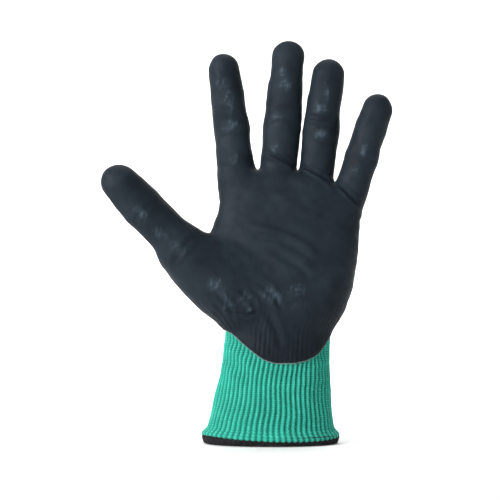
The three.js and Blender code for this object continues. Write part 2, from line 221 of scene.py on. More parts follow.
@dataclass
class Digit:
    """A finger or the thumb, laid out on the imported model's bending lines."""

    pattern: DigitPattern
    hinge_depth: float = 4 * MM
    coating: float = 1.2 * MM
    knuckle_swell: float = 0.35 * MM
    knuckle_reach: float = 7 * MM
    root_reach: float = 14 * MM
    stretches: list[Stretch] = field(default_factory=list)
    joints: list[float] = field(default_factory=list)

    def __post_init__(self) -> None:
        """Finds the digit's stretches from the joints that its bodies turn on."""
        rows = [j for j in frame["joints"] if j["name"].startswith(self.pattern.name + "_")]
        hinges = [np.array(row["pos_m"]) for row in rows]
        axes = [unit(np.array(row["axis"])) for row in rows]
        ways = [unit(b - a) for a, b in zip(hinges, hinges[1:])]
        ways.append(turned(ways[-1], axes[-1], math.radians(self.pattern.last_turn)))
        distance = self.pattern.root_length * MM
        for k, (hinge, axis, way) in enumerate(zip(hinges, axes, ways)):
            side = unit(axis - way * (axis @ way))
            palmward = np.cross(side, way)
            origin = hinge - palmward * self.hinge_depth
            if k == 0:
                root = origin - way * distance
                self.stretches.append(Stretch(root, way, side, palmward, 0.0, HAND))
            else:
                distance += float(np.linalg.norm(hinge - hinges[k - 1]))
            self.joints.append(distance)
            self.stretches.append(Stretch(origin, way, side, palmward, distance, rows[k]["child"]))

    @property
    def length(self) -> float:
        """The distance from the root plane to the tip of the knit."""
        return self.pattern.length * MM

    def half_width(self, distance: Array) -> Array:
        """Works out half the knit's width along the digit.

        Args:
            distance: Distances from the root plane.

        Returns:
            Half widths, one per distance.
        """
        marks = (0.0, *self.joints[1:], self.length)
        curve = Course(marks, tuple(w * MM / 2 - self.coating for w in self.pattern.widths))
        return curve(np.maximum(distance, 0))

    def place(self, distance: float) -> Array:
        """Returns the point on the digit's middle line at a distance from the root plane."""
        stretch = [s for s in self.stretches if s.start <= max(distance, 0)][-1]
        return stretch.origin + stretch.along * (distance - stretch.start)

    def way(self, distance: float) -> Array:
        """Returns the digit's direction at a distance from the root plane."""
        return [s for s in self.stretches if s.start <= max(distance, 0)][-1].along

    def locate(self, points: Array) -> Array:
        """Measures points along and across the digit.

        Args:
            points: Places, one row each.

        Returns:
            One row per place: distance from the root plane, then sideways and palmward offsets.
        """
        stage = np.zeros(len(points), int)
        for k in range(1, len(self.stretches)):
            before, after = self.stretches[k - 1], self.stretches[k]
            past = (points - after.origin) @ (before.along + after.along) > 0
            stage[past & (stage == k - 1)] = k
        result = np.empty((len(points), 3))
        for k, stretch in enumerate(self.stretches):
            chosen = stage == k
            offset = points[chosen] - stretch.origin
            result[chosen, 0] = stretch.start + offset @ stretch.along
            result[chosen, 1] = offset @ stretch.side
            result[chosen, 2] = offset @ stretch.palmward
        return result

    def distance_to(self, points: Array) -> Array:
        """Works out the signed distance to the digit's knit.

        Args:
            points: Places, one row each.

        Returns:
            One distance per place, negative inside.
        """
        s, u, v = self.locate(points).T
        half = self.half_width(s)
        dome = float(self.half_width(np.array([self.length]))[0])
        for joint in self.joints[1:]:
            half = half + self.knuckle_swell * bump(s - joint, self.knuckle_reach)
        deep = half * self.pattern.depth_share
        past = np.maximum(0, s - (self.length - dome)) / dome
        size = np.sqrt((u / half) ** 2 + (v / deep) ** 2 + past**2) + 1e-9
        steep = np.sqrt((u / half**2) ** 2 + (v / deep**2) ** 2 + (past / dome) ** 2) / size
        return np.maximum((size - 1) / (steep + 1e-9), -self.root_reach - s)


@dataclass
class Hand:
    """The shape that the knit takes, as a field of signed distances from its outer face.

    The outline's rows are in millimetres: its left, right, front and back at each height.
    """

    heights: tuple[float, ...] = (
        0, 5, 11, 30, 52, 70, 84, 100, 120, 132, 138, 145, 158, 168, 180,
    )
    left: tuple[float, ...] = (
        -42.4, -41.6, -39.4, -34.6, -30.0, -28.5, -29.0, -30.0, -33.5, -36.0, -34.2, -31.8,
        -31.0, -30.8, -30.5,
    )
    right: tuple[float, ...] = (
        42.6, 41.6, 39.6, 37.9, 37.0, 37.9, 46.0, 50.8, 53.8, 54.7, 54.9, 54.8, 52.4, 46.2, 42.0,
    )
    front: tuple[float, ...] = (
        26.5, 26.5, 25.2, 22.6, 20.0, 19.2, 21.0, 21.6, 17.8, 15.6, 14.4, 13.6, 11.6, 10.4, 9.4,
    )
    back: tuple[float, ...] = (
        26.5, 26.5, 25.4, 23.5, 22.0, 20.5, 19.0, 17.5, 16.7, 16.1, 15.6, 15.0, 13.5, 12.0, 11.0,
    )
    crotch_places: tuple[float, ...] = (-30, 18, 40, 60)
    crotch_heights: tuple[float, ...] = (170, 169, 161, 148)
    thenar_start: Place = (-21.0, -5.5, 87.5)
    thenar_lean: Place = (-1.6, 0.0, -1.4)
    thenar_marks: tuple[float, ...] = (0, 0.35, 0.75, 1)
    thenar_radii: tuple[float, ...] = (15.8, 17.6, 16.0, 13.8)
    crotch_round: float = 7 * MM
    thumb_round: float = 9 * MM
    finger_round: float = 5 * MM
    digits: list[Digit] = field(default_factory=list)

    def __post_init__(self) -> None:
        """Lays out the digits and the outline's curves."""
        self.digits = [Digit(pattern) for pattern in DIGIT_PATTERNS]
        self.left_at = in_metres(self.heights, self.left)
        self.right_at = in_metres(self.heights, self.right)
        self.front_at = in_metres(self.heights, self.front)
        self.back_at = in_metres(self.heights, self.back)
        self.crotch_at = in_metres(self.crotch_places, self.crotch_heights)

    @property
    def thumb(self) -> Digit:
        """The thumb."""
        return self.digits[0]

    def squareness(self, z: Array) -> Array:
        """Returns the power of the outline's superellipse at a height."""
        return 2.1 + 0.5 * ease(60 * MM, 110 * MM, z)

    def section(self, z: Array, side: Array) -> tuple[Array, Array, Array]:
        """Measures the outline's section at heights.

        Args:
            z: Heights.
            side: Numbers below 0 for the palm's side and above 0 for the back's.

        Returns:
            The section's middle across the hand, its half width, and its depth on that side.
        """
        left, right = self.left_at(z), self.right_at(z)
        deep = np.where(side < 0, self.front_at(z), self.back_at(z))
        return (left + right) / 2, (right - left) / 2, deep

    def outline(self, z: Array, angle: Array, grow: Array) -> Array:
        """Finds points of the hand's outline, without its digits.

        Args:
            z: Heights.
            angle: Angles from +X towards the back of the hand, in radians.
            grow: Distances outside the knit's face.

        Returns:
            One point per row.
        """
        power = 2 / self.squareness(z)
        c, s = np.cos(angle), np.sin(angle)
        middle, wide, deep = self.section(z, s)
        x = middle + (wide + grow) * np.sign(c) * np.abs(c) ** power
        y = (deep + grow) * np.sign(s) * np.abs(s) ** power
        return np.stack([x, y, z + 0 * x], axis=-1)

    def palm_field(self, points: Array) -> Array:
        """Works out the signed distance to the palm, wrist and cuff without the digits.

        Args:
            points: Places, one row each.

        Returns:
            One distance per place, negative inside.
        """
        x, y, z = points.T
        middle, wide, deep = self.section(z, y)
        power = self.squareness(z)
        u, v = np.abs(x - middle) / wide + 1e-6, np.abs(y) / deep + 1e-6
        size = (u**power + v**power) ** (1 / power)
        steep = np.hypot(u ** (power - 1) / wide, v ** (power - 1) / deep) * size ** (1 - power)
        around = (size - 1) / steep
        return -soft_min(-around, -(z - self.crotch_at(x)), self.crotch_round)

    def thenar_field(self, points: Array) -> Array:
        """Works out the signed distance to the ball of the thumb.

        Args:
            points: Places, one row each.

        Returns:
            One distance per place, negative inside.
        """
        start = np.array(self.thenar_start) * MM
        run = self.thumb.stretches[0].origin + np.array(self.thenar_lean) * MM - start
        length = float(np.linalg.norm(run))
        offset = points - start
        share = np.clip(offset @ run / length**2, 0, 1)
        radius = Course(self.thenar_marks, tuple(r * MM for r in self.thenar_radii))(share)
        return np.linalg.norm(offset - share[:, None] * run, axis=1) - radius

    def distance_to(self, points: Array) -> Array:
        """Works out the signed distance to the whole knit.

        Args:
            points: Places, one row each.

        Returns:
            One distance per place, negative inside.
        """
        height = points[:, 2]
        reach = 6 + 14 * ease(74 * MM, 104 * MM, height) - 6 * ease(108 * MM, 134 * MM, height)
        palm = soft_min(self.palm_field(points), self.thenar_field(points), reach * MM)
        base = soft_min(palm, self.thumb.distance_to(points), self.thumb_round)
        fields = [digit.distance_to(points) for digit in self.digits[1:]]
        return np.minimum.reduce([soft_min(base, own, self.finger_round) for own in fields])

    def slope(self, points: Array) -> Array:
        """Works out the field's outward directions.

        Args:
            points: Places, one row each.

        Returns:
            One unit normal per place.
        """
        step = 0.15 * MM
        rows = [
            self.distance_to(points + offset) - self.distance_to(points - offset)
            for offset in np.eye(3) * step
        ]
        normals = np.stack(rows, axis=1)
        return normals / np.linalg.norm(normals, axis=1, keepdims=True)


# ---- Sheets of triangles ------------------------------------------------------------------------


@dataclass
class Sheet:
    """Triangles with values at their corners, which can be cut along a field."""

    points: Array
    faces: Array
    values: dict[str, Array] = field(default_factory=dict)

    def cut(self, level: Array) -> "Sheet":
        """Keeps the part where a field is positive.

        Args:
            level: One value per point.

        Returns:
            A new sheet, cut exactly along the field's zero line.
        """
        inside = level[self.faces] > 0
        count = inside.sum(axis=1)
        mixed, within = self.faces[(count == 1) | (count == 2)], inside[(count == 1) | (count == 2)]
        single = within.sum(axis=1) == 1
        lone = np.argmax(within == single[:, None], axis=1)
        rows = np.arange(len(mixed))
        a, b, c = (mixed[rows, (lone + turn) % 3] for turn in range(3))
        edges = np.concatenate([np.stack([a, b], 1), np.stack([a, c], 1)])
        pairs, ids = np.unique(np.sort(edges, axis=1), axis=0, return_inverse=True)
        ids = ids.reshape(-1)
        first, second = pairs.T
        share = level[first] / (level[first] - level[second])
        fresh = ids + len(self.points)
        ab, ac = fresh[: len(mixed)], fresh[len(mixed):]
        tips = np.stack([a, ab, ac], 1)[single]
        wide = ~single
        halves = [np.stack([ab, b, c], 1)[wide], np.stack([ab, c, ac], 1)[wide]]
        faces = np.concatenate([self.faces[count == 3], tips, *halves])

        def with_new(values: Array) -> Array:
            """Returns values with those of the cut's new points added."""
            t = share.reshape(-1, *([1] * (values.ndim - 1)))
            return np.concatenate([values, values[first] * (1 - t) + values[second] * t])

        points = with_new(self.points)
        used = np.unique(faces)
        renumbered = np.full(len(points), -1)
        renumbered[used] = np.arange(len(used))
        values = {name: with_new(v)[used] for name, v in self.values.items()}
        return Sheet(points[used], renumbered[faces], values)

    def normals(self) -> Array:
        """Averages the directions of the triangles round each point.

        Returns:
            One unit normal per point.
        """
        a, b, c = (self.points[self.faces[:, k]] for k in range(3))
        across = np.cross(b - a, c - a)
        total = np.zeros_like(self.points)
        for k in range(3):
            for axis in range(3):
                total[:, axis] += np.bincount(
                    self.faces[:, k], across[:, axis], minlength=len(self.points)
                )
        return total / np.maximum(np.linalg.norm(total, axis=1, keepdims=True), 1e-12)


@dataclass
class Wrap:
    """An even net of triangles laid over the hand's field."""

    hand: Hand
    low: Array
    high: Array
    cell: float
    settlings: int = 3

    def make(self) -> Sheet:
        """Lays the net, evens it out and draws it onto the field's zero level.

        Returns:
            The net.
        """
        points, quads = self.crossings()
        for _ in range(self.settlings):
            points = evened(self.drawn(points), quads)
        points = self.drawn(self.drawn(points))
        a, b, c, d = points[quads].transpose(1, 0, 2)
        short = np.linalg.norm(a - c, axis=1) < np.linalg.norm(b - d, axis=1)
        one = np.where(short[:, None], quads[:, [0, 1, 2]], quads[:, [0, 1, 3]])
        two = np.where(short[:, None], quads[:, [0, 2, 3]], quads[:, [1, 2, 3]])
        return Sheet(points, np.concatenate([one, two]))

    def drawn(self, points: Array) -> Array:
        """Returns points drawn onto the field's zero level."""
        return points - self.hand.distance_to(points)[:, None] * self.hand.slope(points)

    def crossings(self) -> tuple[Array, Array]:
        """Finds where the field's zero level crosses a grid, one point to each cell it passes.

        Returns:
            The points, and the quads that join them round each crossed edge of the grid.
        """
        counts = np.ceil((self.high - self.low) / self.cell).astype(int) + 1
        axes = [self.low[k] + self.cell * np.arange(counts[k]) for k in range(3)]
        grid = np.stack(np.meshgrid(*axes, indexing="ij"), axis=-1).reshape(-1, 3)
        parts = np.array_split(grid, 24)
        level = np.concatenate([self.hand.distance_to(part) for part in parts]).reshape(counts)
        cells = counts - 1
        total = np.zeros((int(np.prod(cells)), 4))
        quads = np.concatenate([self.edges_along(k, level, cells, total) for k in range(3)])
        used, renumbered = np.unique(quads, return_inverse=True)
        points = self.low + self.cell * total[used, :3] / total[used, 3:]
        return points, renumbered.reshape(quads.shape)

    def edges_along(self, axis: int, level: Array, cells: Array, total: Array) -> Array:
        """Handles the grid's edges along one axis that the zero level crosses.

        Args:
            axis: The axis.
            level: The field at the grid's points.
            cells: How many cells the grid has along each axis.
            total: Each cell's sum of crossings and their number, which is added to.

        Returns:
            One quad per crossed edge, of the numbers of the cells round it.
        """
        other = [(axis + 1) % 3, (axis + 2) % 3]
        before = np.take(level, range(cells[axis]), axis)
        after = np.take(level, range(1, cells[axis] + 1), axis)
        crossing = (before < 0) != (after < 0)
        where = np.argwhere(crossing)
        place = where.astype(float)
        place[:, axis] += before[crossing] / (before[crossing] - after[crossing])
        kept = np.all([(where[:, o] > 0) & (where[:, o] < cells[o]) for o in other], axis=0)
        corners = []
        for steps in ((0, 0), (-1, 0), (-1, -1), (0, -1)):
            index = where.copy()
            index[:, other] += steps
            valid = np.all((index >= 0) & (index < cells), axis=1)
            flat = np.ravel_multi_index(np.where(valid[:, None], index, 0).T, cells)
            for k in range(3):
                total[:, k] += np.bincount(flat[valid], place[valid, k], minlength=len(total))
            total[:, 3] += np.bincount(flat[valid], minlength=len(total))
            corners.append(flat)
        square = np.stack(corners, axis=1)[kept]
        outward = (before[crossing] < 0)[kept]
        return np.where(outward[:, None], square, square[:, ::-1])


def evened(points: Array, quads: Array) -> Array:
    """Moves a net's points half way to the mean of their neighbours.

    Args:
        points: The net's points.
        quads: Its quads.

    Returns:
        The points, with those on the net's edge left where they are.
    """
    total = np.zeros((len(points), 4))
    for a, b in ((0, 1), (1, 2), (2, 3), (3, 0)):
        for one, two in ((a, b), (b, a)):
            for axis in range(3):
                total[:, axis] += np.bincount(
                    quads[:, one], points[quads[:, two], axis], minlength=len(points)
                )
            total[:, 3] += np.bincount(quads[:, one], minlength=len(points))
    edge = total[:, 3] < 5
    mean = total[:, :3] / np.maximum(total[:, 3:], 1)
    return np.where(edge[:, None], points, (points + mean) / 2)


def as_object(
    name: str, points: Array, faces: Array, values: dict[str, Array], normals: Array | None = None
) -> bpy.types.Object:
    """Makes a Blender object from points and faces.

    Args:
        name: The piece's name.
        points: Places, one row each.
        faces: Corner numbers, one row per triangle or quad.
        values: Named values for the points, with one or three numbers each.
        normals: Outward normals at the points, or None to work them out from the faces.

    Returns:
        The object, linked to the scene.
    """
    mesh = bpy.data.meshes.new(name)
    mesh.from_pydata(points.tolist(), [], faces.tolist())
    mesh.polygons.foreach_set("use_smooth", np.ones(len(faces), bool))
    for key, value in values.items():
        kind, slot_name = ("FLOAT_VECTOR", "vector") if value.ndim == 2 else ("FLOAT", "value")
        layer = mesh.attributes.new(key, kind, "POINT")
        layer.data.foreach_set(slot_name, value.astype(np.float32).ravel())
    if normals is not None:
        mesh.normals_split_custom_set_from_vertices(normals.tolist())
    piece = bpy.data.objects.new(name, mesh)
    bpy.context.scene.collection.objects.link(piece)
    return piece


def shell(name: str, sheet: Sheet, outer: str, inner: str) -> bpy.types.Object:
    """Makes a closed skin between two faces of one sheet.

    Args:
        name: The piece's name.
        sheet: The sheet, with the places of both faces among its values.
        outer: The name of the outer face's places. Their normals are named the same with _normal.
        inner: The name of the inner face's places.

    Returns:
        The object.
    """
    count = len(sheet.points)
    loops = np.concatenate([sheet.faces[:, [a, b]] for a, b in ((0, 1), (1, 2), (2, 0))])
    keys = loops[:, 0].astype(np.int64) * count + loops[:, 1]
    back = loops[:, 1].astype(np.int64) * count + loops[:, 0]
    rim = loops[~np.isin(keys, back)]
    walls = np.concatenate(
        [
            np.stack([rim[:, 1], rim[:, 0], rim[:, 0] + count], axis=1),
            np.stack([rim[:, 1], rim[:, 0] + count, rim[:, 1] + count], axis=1),
        ]
    )
    faces = np.concatenate([sheet.faces, sheet.faces[:, ::-1] + count, walls])
    points = np.concatenate([sheet.values[outer], sheet.values[inner]])
    normals = sheet.values[outer + "_normal"]
    values = {
        key: np.concatenate([sheet.values[key], sheet.values[key]])
        for key in ("stitch", "place", "thin_and_highlight_share", "rim")
    }
    return as_object(name, points, faces, values, np.concatenate([normals, -normals]))


# ---- Finishes -----------------------------------------------------------------------------------


class Bench:
    """Lays out the nodes of one material."""

    def __init__(self, name: str) -> None:
        """Starts a material with only its shader and output.

        Args:
            name: The material's name.
        """
        self.material = bpy.data.materials.new(name)
        self.material.use_nodes = True
        self.tree = self.material.node_tree
        self.shader = self.tree.nodes["Principled BSDF"]

    def node(
        self, kind: str, inputs: dict[str | int, object] | None = None, **settings: object
    ) -> bpy.types.Node:
        """Adds a node.

        Args:
            kind: The node's type, without the ShaderNode in front.
            inputs: Values or other nodes' outputs, by input name or number.
            **settings: The node's own settings.

        Returns:
            The node.
        """
        made = self.tree.nodes.new("ShaderNode" + kind)
        for key, value in settings.items():
            setattr(made, key, value)
        for key, value in (inputs or {}).items():
            if isinstance(value, Socket):
                self.tree.links.new(value, made.inputs[key])
            else:
                made.inputs[key].default_value = value
        return made

    def sum(self, operation: str, *values: object) -> Socket:
        """Returns the result of a Math node on up to three values."""
        inputs = dict(enumerate(values))
        return self.node("Math", inputs, operation=operation).outputs[0]

    def noise(self, place: Socket, pitch: float, detail: float = 3.0) -> Socket:
        """Returns noise with lumps of about a pitch in size, from 0 to 1."""
        settings = {"Vector": place, "Scale": 1 / pitch, "Detail": detail}
        return self.node("TexNoise", settings).outputs[0]

    def ramp(self, value: Socket, low: float, high: float, to: tuple[float, float]) -> Socket:
        """Returns a value carried from low..high to another range."""
        inputs = {0: value, 1: low, 2: high, 3: to[0], 4: to[1]}
        return self.node("MapRange", inputs).outputs[0]

    def mix(self, share: object, first: object, second: object) -> Socket:
        """Returns a mix of two colours, the second one's share from 0 to 1."""
        return self.node("Mix", {0: share, 6: first, 7: second}, data_type="RGBA").outputs[2]

    def attribute(self, name: str, output: str = "Vector") -> Socket:
        """Returns a named value of the mesh."""
        return self.node("Attribute", attribute_name=name).outputs[output]

    def relief(self, layers: list[tuple[Socket, float]]) -> None:
        """Adds relief to the surface.

        Args:
            layers: Heights from 0 to 1, each with its depth in metres.
        """
        normal = None
        for height, depth in layers:
            inputs = {"Height": height, "Distance": depth, "Strength": 1.0}
            if normal is not None:
                inputs["Normal"] = normal
            normal = self.node("Bump", inputs).outputs[0]
        self.tree.links.new(normal, self.shader.inputs["Normal"])

    def connect(self, socket: str, value: Socket) -> None:
        """Feeds one of the shader's sockets."""
        self.tree.links.new(value, self.shader.inputs[socket])

    def set(self, **values: object) -> None:
        """Sets the shader's own sockets, with _ in place of spaces in their names."""
        for key, value in values.items():
            self.shader.inputs[key.replace("_", " ")].default_value = value


BLACK: Colour = (0.016, 0.016, 0.018, 1)
DEEP_BLACK: Colour = (0.005, 0.005, 0.006, 1)
NATURAL: Colour = (0.72, 0.71, 0.66, 1)
DULL_NATURAL: Colour = (0.42, 0.41, 0.37, 1)


@dataclass(frozen=True)
class CoatingFinish:
    """Dipped rubber with a satin face, darkened by painted shade towards the tongue, with painted
    highlights on its wrinkles, partly the paler look of rubber stretched thinly.
    """

    deep: Colour = (0.0052, 0.0086, 0.0127, 1)
    pale: Colour = (0.0140, 0.0215, 0.0290, 1)
    # Painted highlight: the pale blue on the wrinkles, partly the paler look of rubber stretched
    # thinly.
    thin_and_highlight: Colour = (0.054, 0.082, 0.105, 1)
    edge: Colour = (0.30, 0.42, 0.40, 1)
    cloud: float = 16 * MM
    dimple: float = 5 * MM
    grain: float = 1.6 * MM
    streak: float = 1.5 * MM
    pore: float = 0.55 * MM
    # Heights over which painted shade darkens the coating towards its tongue at the wrist, darkest
    # at the lower one.
    tongue: tuple[float, float] = (58 * MM, 98 * MM)
    roughness: tuple[float, float] = (0.50, 0.64)
    polish: float = 0.2

    def make(self) -> bpy.types.Material:
        """Builds the material.

        Returns:
            The material.
        """
        bench = Bench("dipped_coating")
        place = bench.attribute("place")
        cloud = bench.noise(place, self.cloud, 4)
        # Painted shade: lower down, over the tongue at the wrist, the coating darkens towards its
        # deep tone. Random lighter and darker clouds are mixed in.
        height = bench.node("SeparateXYZ", {0: place}).outputs[2]
        painted_shade_by_height = bench.ramp(height, *self.tongue, (0.05, 1.0))
        share = bench.sum("MULTIPLY", bench.ramp(cloud, 0.3, 0.7, (0.2, 0.9)), painted_shade_by_height)
        base = bench.mix(share, self.deep, self.pale)
        # Painted highlight: the colour turns pale blue on the wrinkles' ridges, broken into streaks,
        # partly the paler look of rubber stretched thinly.
        thin_and_highlight_share = bench.attribute("thin_and_highlight_share", "Fac")
        streaks = bench.node("VectorMath", {0: place, 1: (1, 0.6, 0.3)}, operation="MULTIPLY")
        streaked = bench.noise(streaks.outputs[0], self.streak)
        broken = bench.ramp(streaked, 0.40, 0.62, (0.35, 1.0))
        thin_and_highlight_share = bench.sum("MULTIPLY", bench.ramp(thin_and_highlight_share, 0.06, 0.9, (0, 0.7)), broken)
        base = bench.mix(thin_and_highlight_share, base, self.thin_and_highlight)
        rim = bench.ramp(bench.attribute("rim", "Fac"), 0.45, 1.0, (0, 0.6))
        bench.connect("Base Color", bench.mix(rim, base, self.edge))
        fine = bench.noise(place, self.grain)
        rough = bench.ramp(fine, 0.3, 0.7, self.roughness)
        smoother = bench.sum("MULTIPLY", thin_and_highlight_share, self.polish)
        bench.connect("Roughness", bench.sum("SUBTRACT", rough, smoother))
        pores = bench.node("TexVoronoi", {"Vector": place, "Scale": 1 / self.pore}).outputs[0]
        dimples = bench.noise(place, self.dimple)
        bench.relief([(dimples, 0.30 * MM), (fine, 0.10 * MM), (pores, 0.035 * MM)])
        bench.set(Specular_IOR_Level=0.10)
        return bench.material


@dataclass(frozen=True)
class KnitFinish:
    """Green yarn, either as plain knit with its V stitches or as a rib's own relief, with painted
    shade in its hollows and painted highlights on its raised yarn.
    """

    name: str
    plain: bool
    yarn: Colour = (0.040, 0.445, 0.335, 1)
    # Painted shade: the deep green laid into the hollows between ribs and between stitch legs.
    hollow_shade: Colour = (0.001, 0.125, 0.088, 1)
    # Painted highlight: the pale mint of small glints on the raised yarn.
    ridge_glint: Colour = (0.20, 0.66, 0.56, 1)
    fibre: float = 0.5 * MM
    patch: float = 9 * MM
    glint_pitch: float = 0.9 * MM
    fibre_depth: float = 0.12 * MM
    stitch_depth: float = 0.5 * MM
    twist_depth: float = 0.16 * MM

    def make(self) -> bpy.types.Material:
        """Builds the material.

        Returns:
            The material.
        """
        bench = Bench(self.name)
        place = bench.attribute("place")
        fibres = bench.noise(place, self.fibre, 4)
        tint = bench.noise(place, self.patch)
        stitch = bench.node("SeparateXYZ", {0: bench.attribute("stitch")}).outputs
        if self.plain:
            height = self.plain_stitch(bench, stitch[0], stitch[1])
            layers = [(height, self.stitch_depth)]
        else:
            height = stitch[2]
            twist = bench.sum("SINE", bench.sum("MULTIPLY", stitch[1], TURN))
            layers = [(twist, self.twist_depth)]
        # Painted shade: the colour darkens to a deep green where the stitch is low, in the hollows
        # between ribs and between stitch legs.
        lit = bench.mix(bench.ramp(height, 0.1, 0.8, (0, 1)), self.hollow_shade, self.yarn)
        # Painted highlight: small pale glints on the raised parts of the yarn only.
        glints = bench.ramp(bench.noise(place, self.glint_pitch, 2), 0.60, 0.72, (0, 0.55))
        glints = bench.sum("MULTIPLY", glints, bench.ramp(height, 0.35, 0.8, (0, 1)))
        lit = bench.mix(glints, lit, self.ridge_glint)
        shade = bench.ramp(tint, 0.3, 0.7, (0.86, 1.06))
        shade = bench.sum("MULTIPLY", shade, bench.ramp(fibres, 0.3, 0.7, (0.86, 1.1)))
        scaled = bench.node("VectorMath", {0: lit, "Scale": shade}, operation="SCALE")
        bench.connect("Base Color", scaled.outputs[0])
        bench.relief([*layers, (fibres, self.fibre_depth)])
        bench.set(Roughness=0.85, Sheen_Weight=0.06, Sheen_Roughness=0.4, Specular_IOR_Level=0.15)
        return bench.material

    def plain_stitch(self, bench: Bench, wale: Socket, course: Socket) -> Socket:
        """Works out the height of the two slanting legs of each stitch.

        Args:
            bench: The material's bench.
            wale: Wales counted across the knit.
            course: Courses counted along it.

        Returns:
            The height, from 0 to 1.
        """
        across = bench.sum("ABSOLUTE", bench.sum("SUBTRACT", bench.sum("FRACT", wale), 0.5))
        climb = bench.sum("ADD", course, bench.sum("MULTIPLY", across, 1.3))
        step = bench.sum("SUBTRACT", bench.sum("FRACT", climb), 0.5)
        leg = bench.sum("MULTIPLY", bench.sum("SUBTRACT", across, 0.25), 4.0)
        round_leg = bench.sum("SUBTRACT", 1.0, bench.sum("MULTIPLY", leg, leg))
        squared = bench.sum("MULTIPLY", step, step)
        strand = bench.sum("SUBTRACT", 1.0, bench.sum("MULTIPLY", squared, 3.6))
        arch = bench.sum("SQRT", bench.sum("MAXIMUM", round_leg, 0.0))
        return bench.sum("MULTIPLY", arch, strand)


@dataclass(frozen=True)
class ThreadFinish:
    """Twisted sewing thread or covered elastic yarn."""

    name: str
    colour: Colour
    dark: Colour
    roughness: float = 0.7
    fibre: float = 0.25 * MM
    depth: float = 0.05 * MM

    def make(self) -> bpy.types.Material:
        """Builds the material.

        Returns:
            The material.
        """
        bench = Bench(self.name)
        place = bench.attribute("place")
        stitch = bench.node("SeparateXYZ", {0: bench.attribute("stitch")}).outputs
        ply = bench.sum("SINE", bench.sum("MULTIPLY", stitch[0], TURN))
        fibres = bench.noise(place, self.fibre)
        tone = bench.sum("ADD", bench.sum("MULTIPLY", ply, 0.25), fibres)
        tone = bench.ramp(tone, 0.1, 0.9, (0, 1))
        bench.connect("Base Color", bench.mix(tone, self.dark, self.colour))
        bench.relief([(ply, self.depth), (fibres, self.depth)])
        bench.set(Roughness=self.roughness, Specular_IOR_Level=0.2)
        return bench.material


# ---- Creases and the look of wear ---------------------------------------------------------------


@dataclass(frozen=True)
class Crease:
    """A fold along a slightly bowed line, with a ridge on both sides of it, in millimetres."""

    start: tuple[float, float]
    end: tuple[float, float]
    bow: float = 0.0
    depth: float = 0.8
    width: float = 2.2
    ridge: float = 0.5

    def height(self, x: Array, z: Array) -> Array:
        """Works out how far the fold moves the surface outwards.

        Args:
            x: Places across the palm, in metres.
            z: Places along it.

        Returns:
            Outward offsets in metres.
        """
        start, end = np.array(self.start) * MM, np.array(self.end) * MM
        run = end - start
        length = float(np.linalg.norm(run))
        way = run / length
        offset = np.stack([x, z], axis=1) - start
        along = offset @ way
        across = offset @ np.array([-way[1], way[0]])
        share = along / length
        across = across - self.bow * MM * 4 * share * (1 - share)
        fade = ease(-0.12, 0.2, share) * (1 - ease(0.8, 1.12, share))
        groove = -bump(across, self.width * MM)
        banks = bump(np.abs(across) - 1.5 * self.width * MM, self.width * MM)
        return self.depth * MM * fade * (groove + self.ridge * banks)


@dataclass(frozen=True)
class Crumple:
    """A small patch of fine wrinkles in the dipped rubber, which also lightens it with painted
    highlight, in millimetres.
    """

    x: float
    z: float
    wide: float
    high: float
    lean: float = 0.0

    def share(self, x: Array, z: Array) -> Array:
        """Works out how far each place lies within the patch.

        Args:
            x: Places across the palm, in metres.
            z: Places along it.

        Returns:
            Shares from 0 to 1.
        """
        across, along = x / MM - self.x, z / MM - self.z
        across = across - self.lean * along
        return np.exp(-2.2 * ((across / self.wide) ** 2 + (along / self.high) ** 2))


# Where each crease starts and ends, x and z, then its bow, depth, width and ridge.
CREASES = (
    # Where the fingers join the palm.
    Crease((-34, 172.5), (-12, 171), 0.8, 0.5, 1.8),
    Crease((-2, 182), (14, 173), 0.8, 1.0, 1.5, 0.8),
    Crease((20, 173), (38, 161), 0.8, 1.0, 1.5, 0.8),
    Crease((41, 162), (55, 148), 0.8, 1.0, 1.5, 0.8),
    # Middle joints.
    Crease((-30, 191), (-14, 194), 0.6, 0.45, 1.9),
    Crease((0, 199.5), (17, 200), 0.6, 0.45, 1.9),
    Crease((24, 204), (41, 203), -0.6, 0.95, 1.8, 0.8),
    Crease((27, 190), (40, 188), -0.6, 0.5, 1.8, 0.6),
    Crease((50, 177), (66, 176), 0.6, 0.4, 1.9),
    # The palm's long folds.
    Crease((-9, 134), (27, 119), 3.0, -0.9, 3.0, 0.5),
    Crease((4, 118), (24, 103), 1.6, 0.45, 2.8, 0.2),
    Crease((-24, 128), (-3, 104), 4.0, 0.3, 3.8, 0.3),
    Crease((30, 141), (51, 145), 2.0, 0.45, 3.2, 0.5),
    # The heel of the hand.
    Crease((-44, 102), (-28, 97), -1.0, 0.5, 1.8, 0.6),
    Crease((-33, 94), (-23, 82), 1.0, 0.8, 1.9, 0.9),
    Crease((-24, 83), (-9, 82), -1.2, 0.8, 1.6, 0.9),
    Crease((-19, 96), (-9, 84), 1.4, 0.8, 2.0, 0.9),
    Crease((-7, 100), (7, 85), 1.4, 0.9, 2.2, 0.8),
    Crease((-2, 82), (6, 60), 1.4, 0.7, 2.6, 0.7),
    Crease((10, 86), (30, 92), 1.6, 0.5, 2.6, 0.6),
    Crease((27, 102), (45, 108), 1.0, 0.45, 3.0, 0.5),
    # The thumb's root and joint.
    Crease((-60, 112), (-48, 128), 1.2, 0.5, 2.4, 0.6),
    Crease((-84, 137), (-72, 150), 1.0, 0.45, 2.0, 0.6),
)
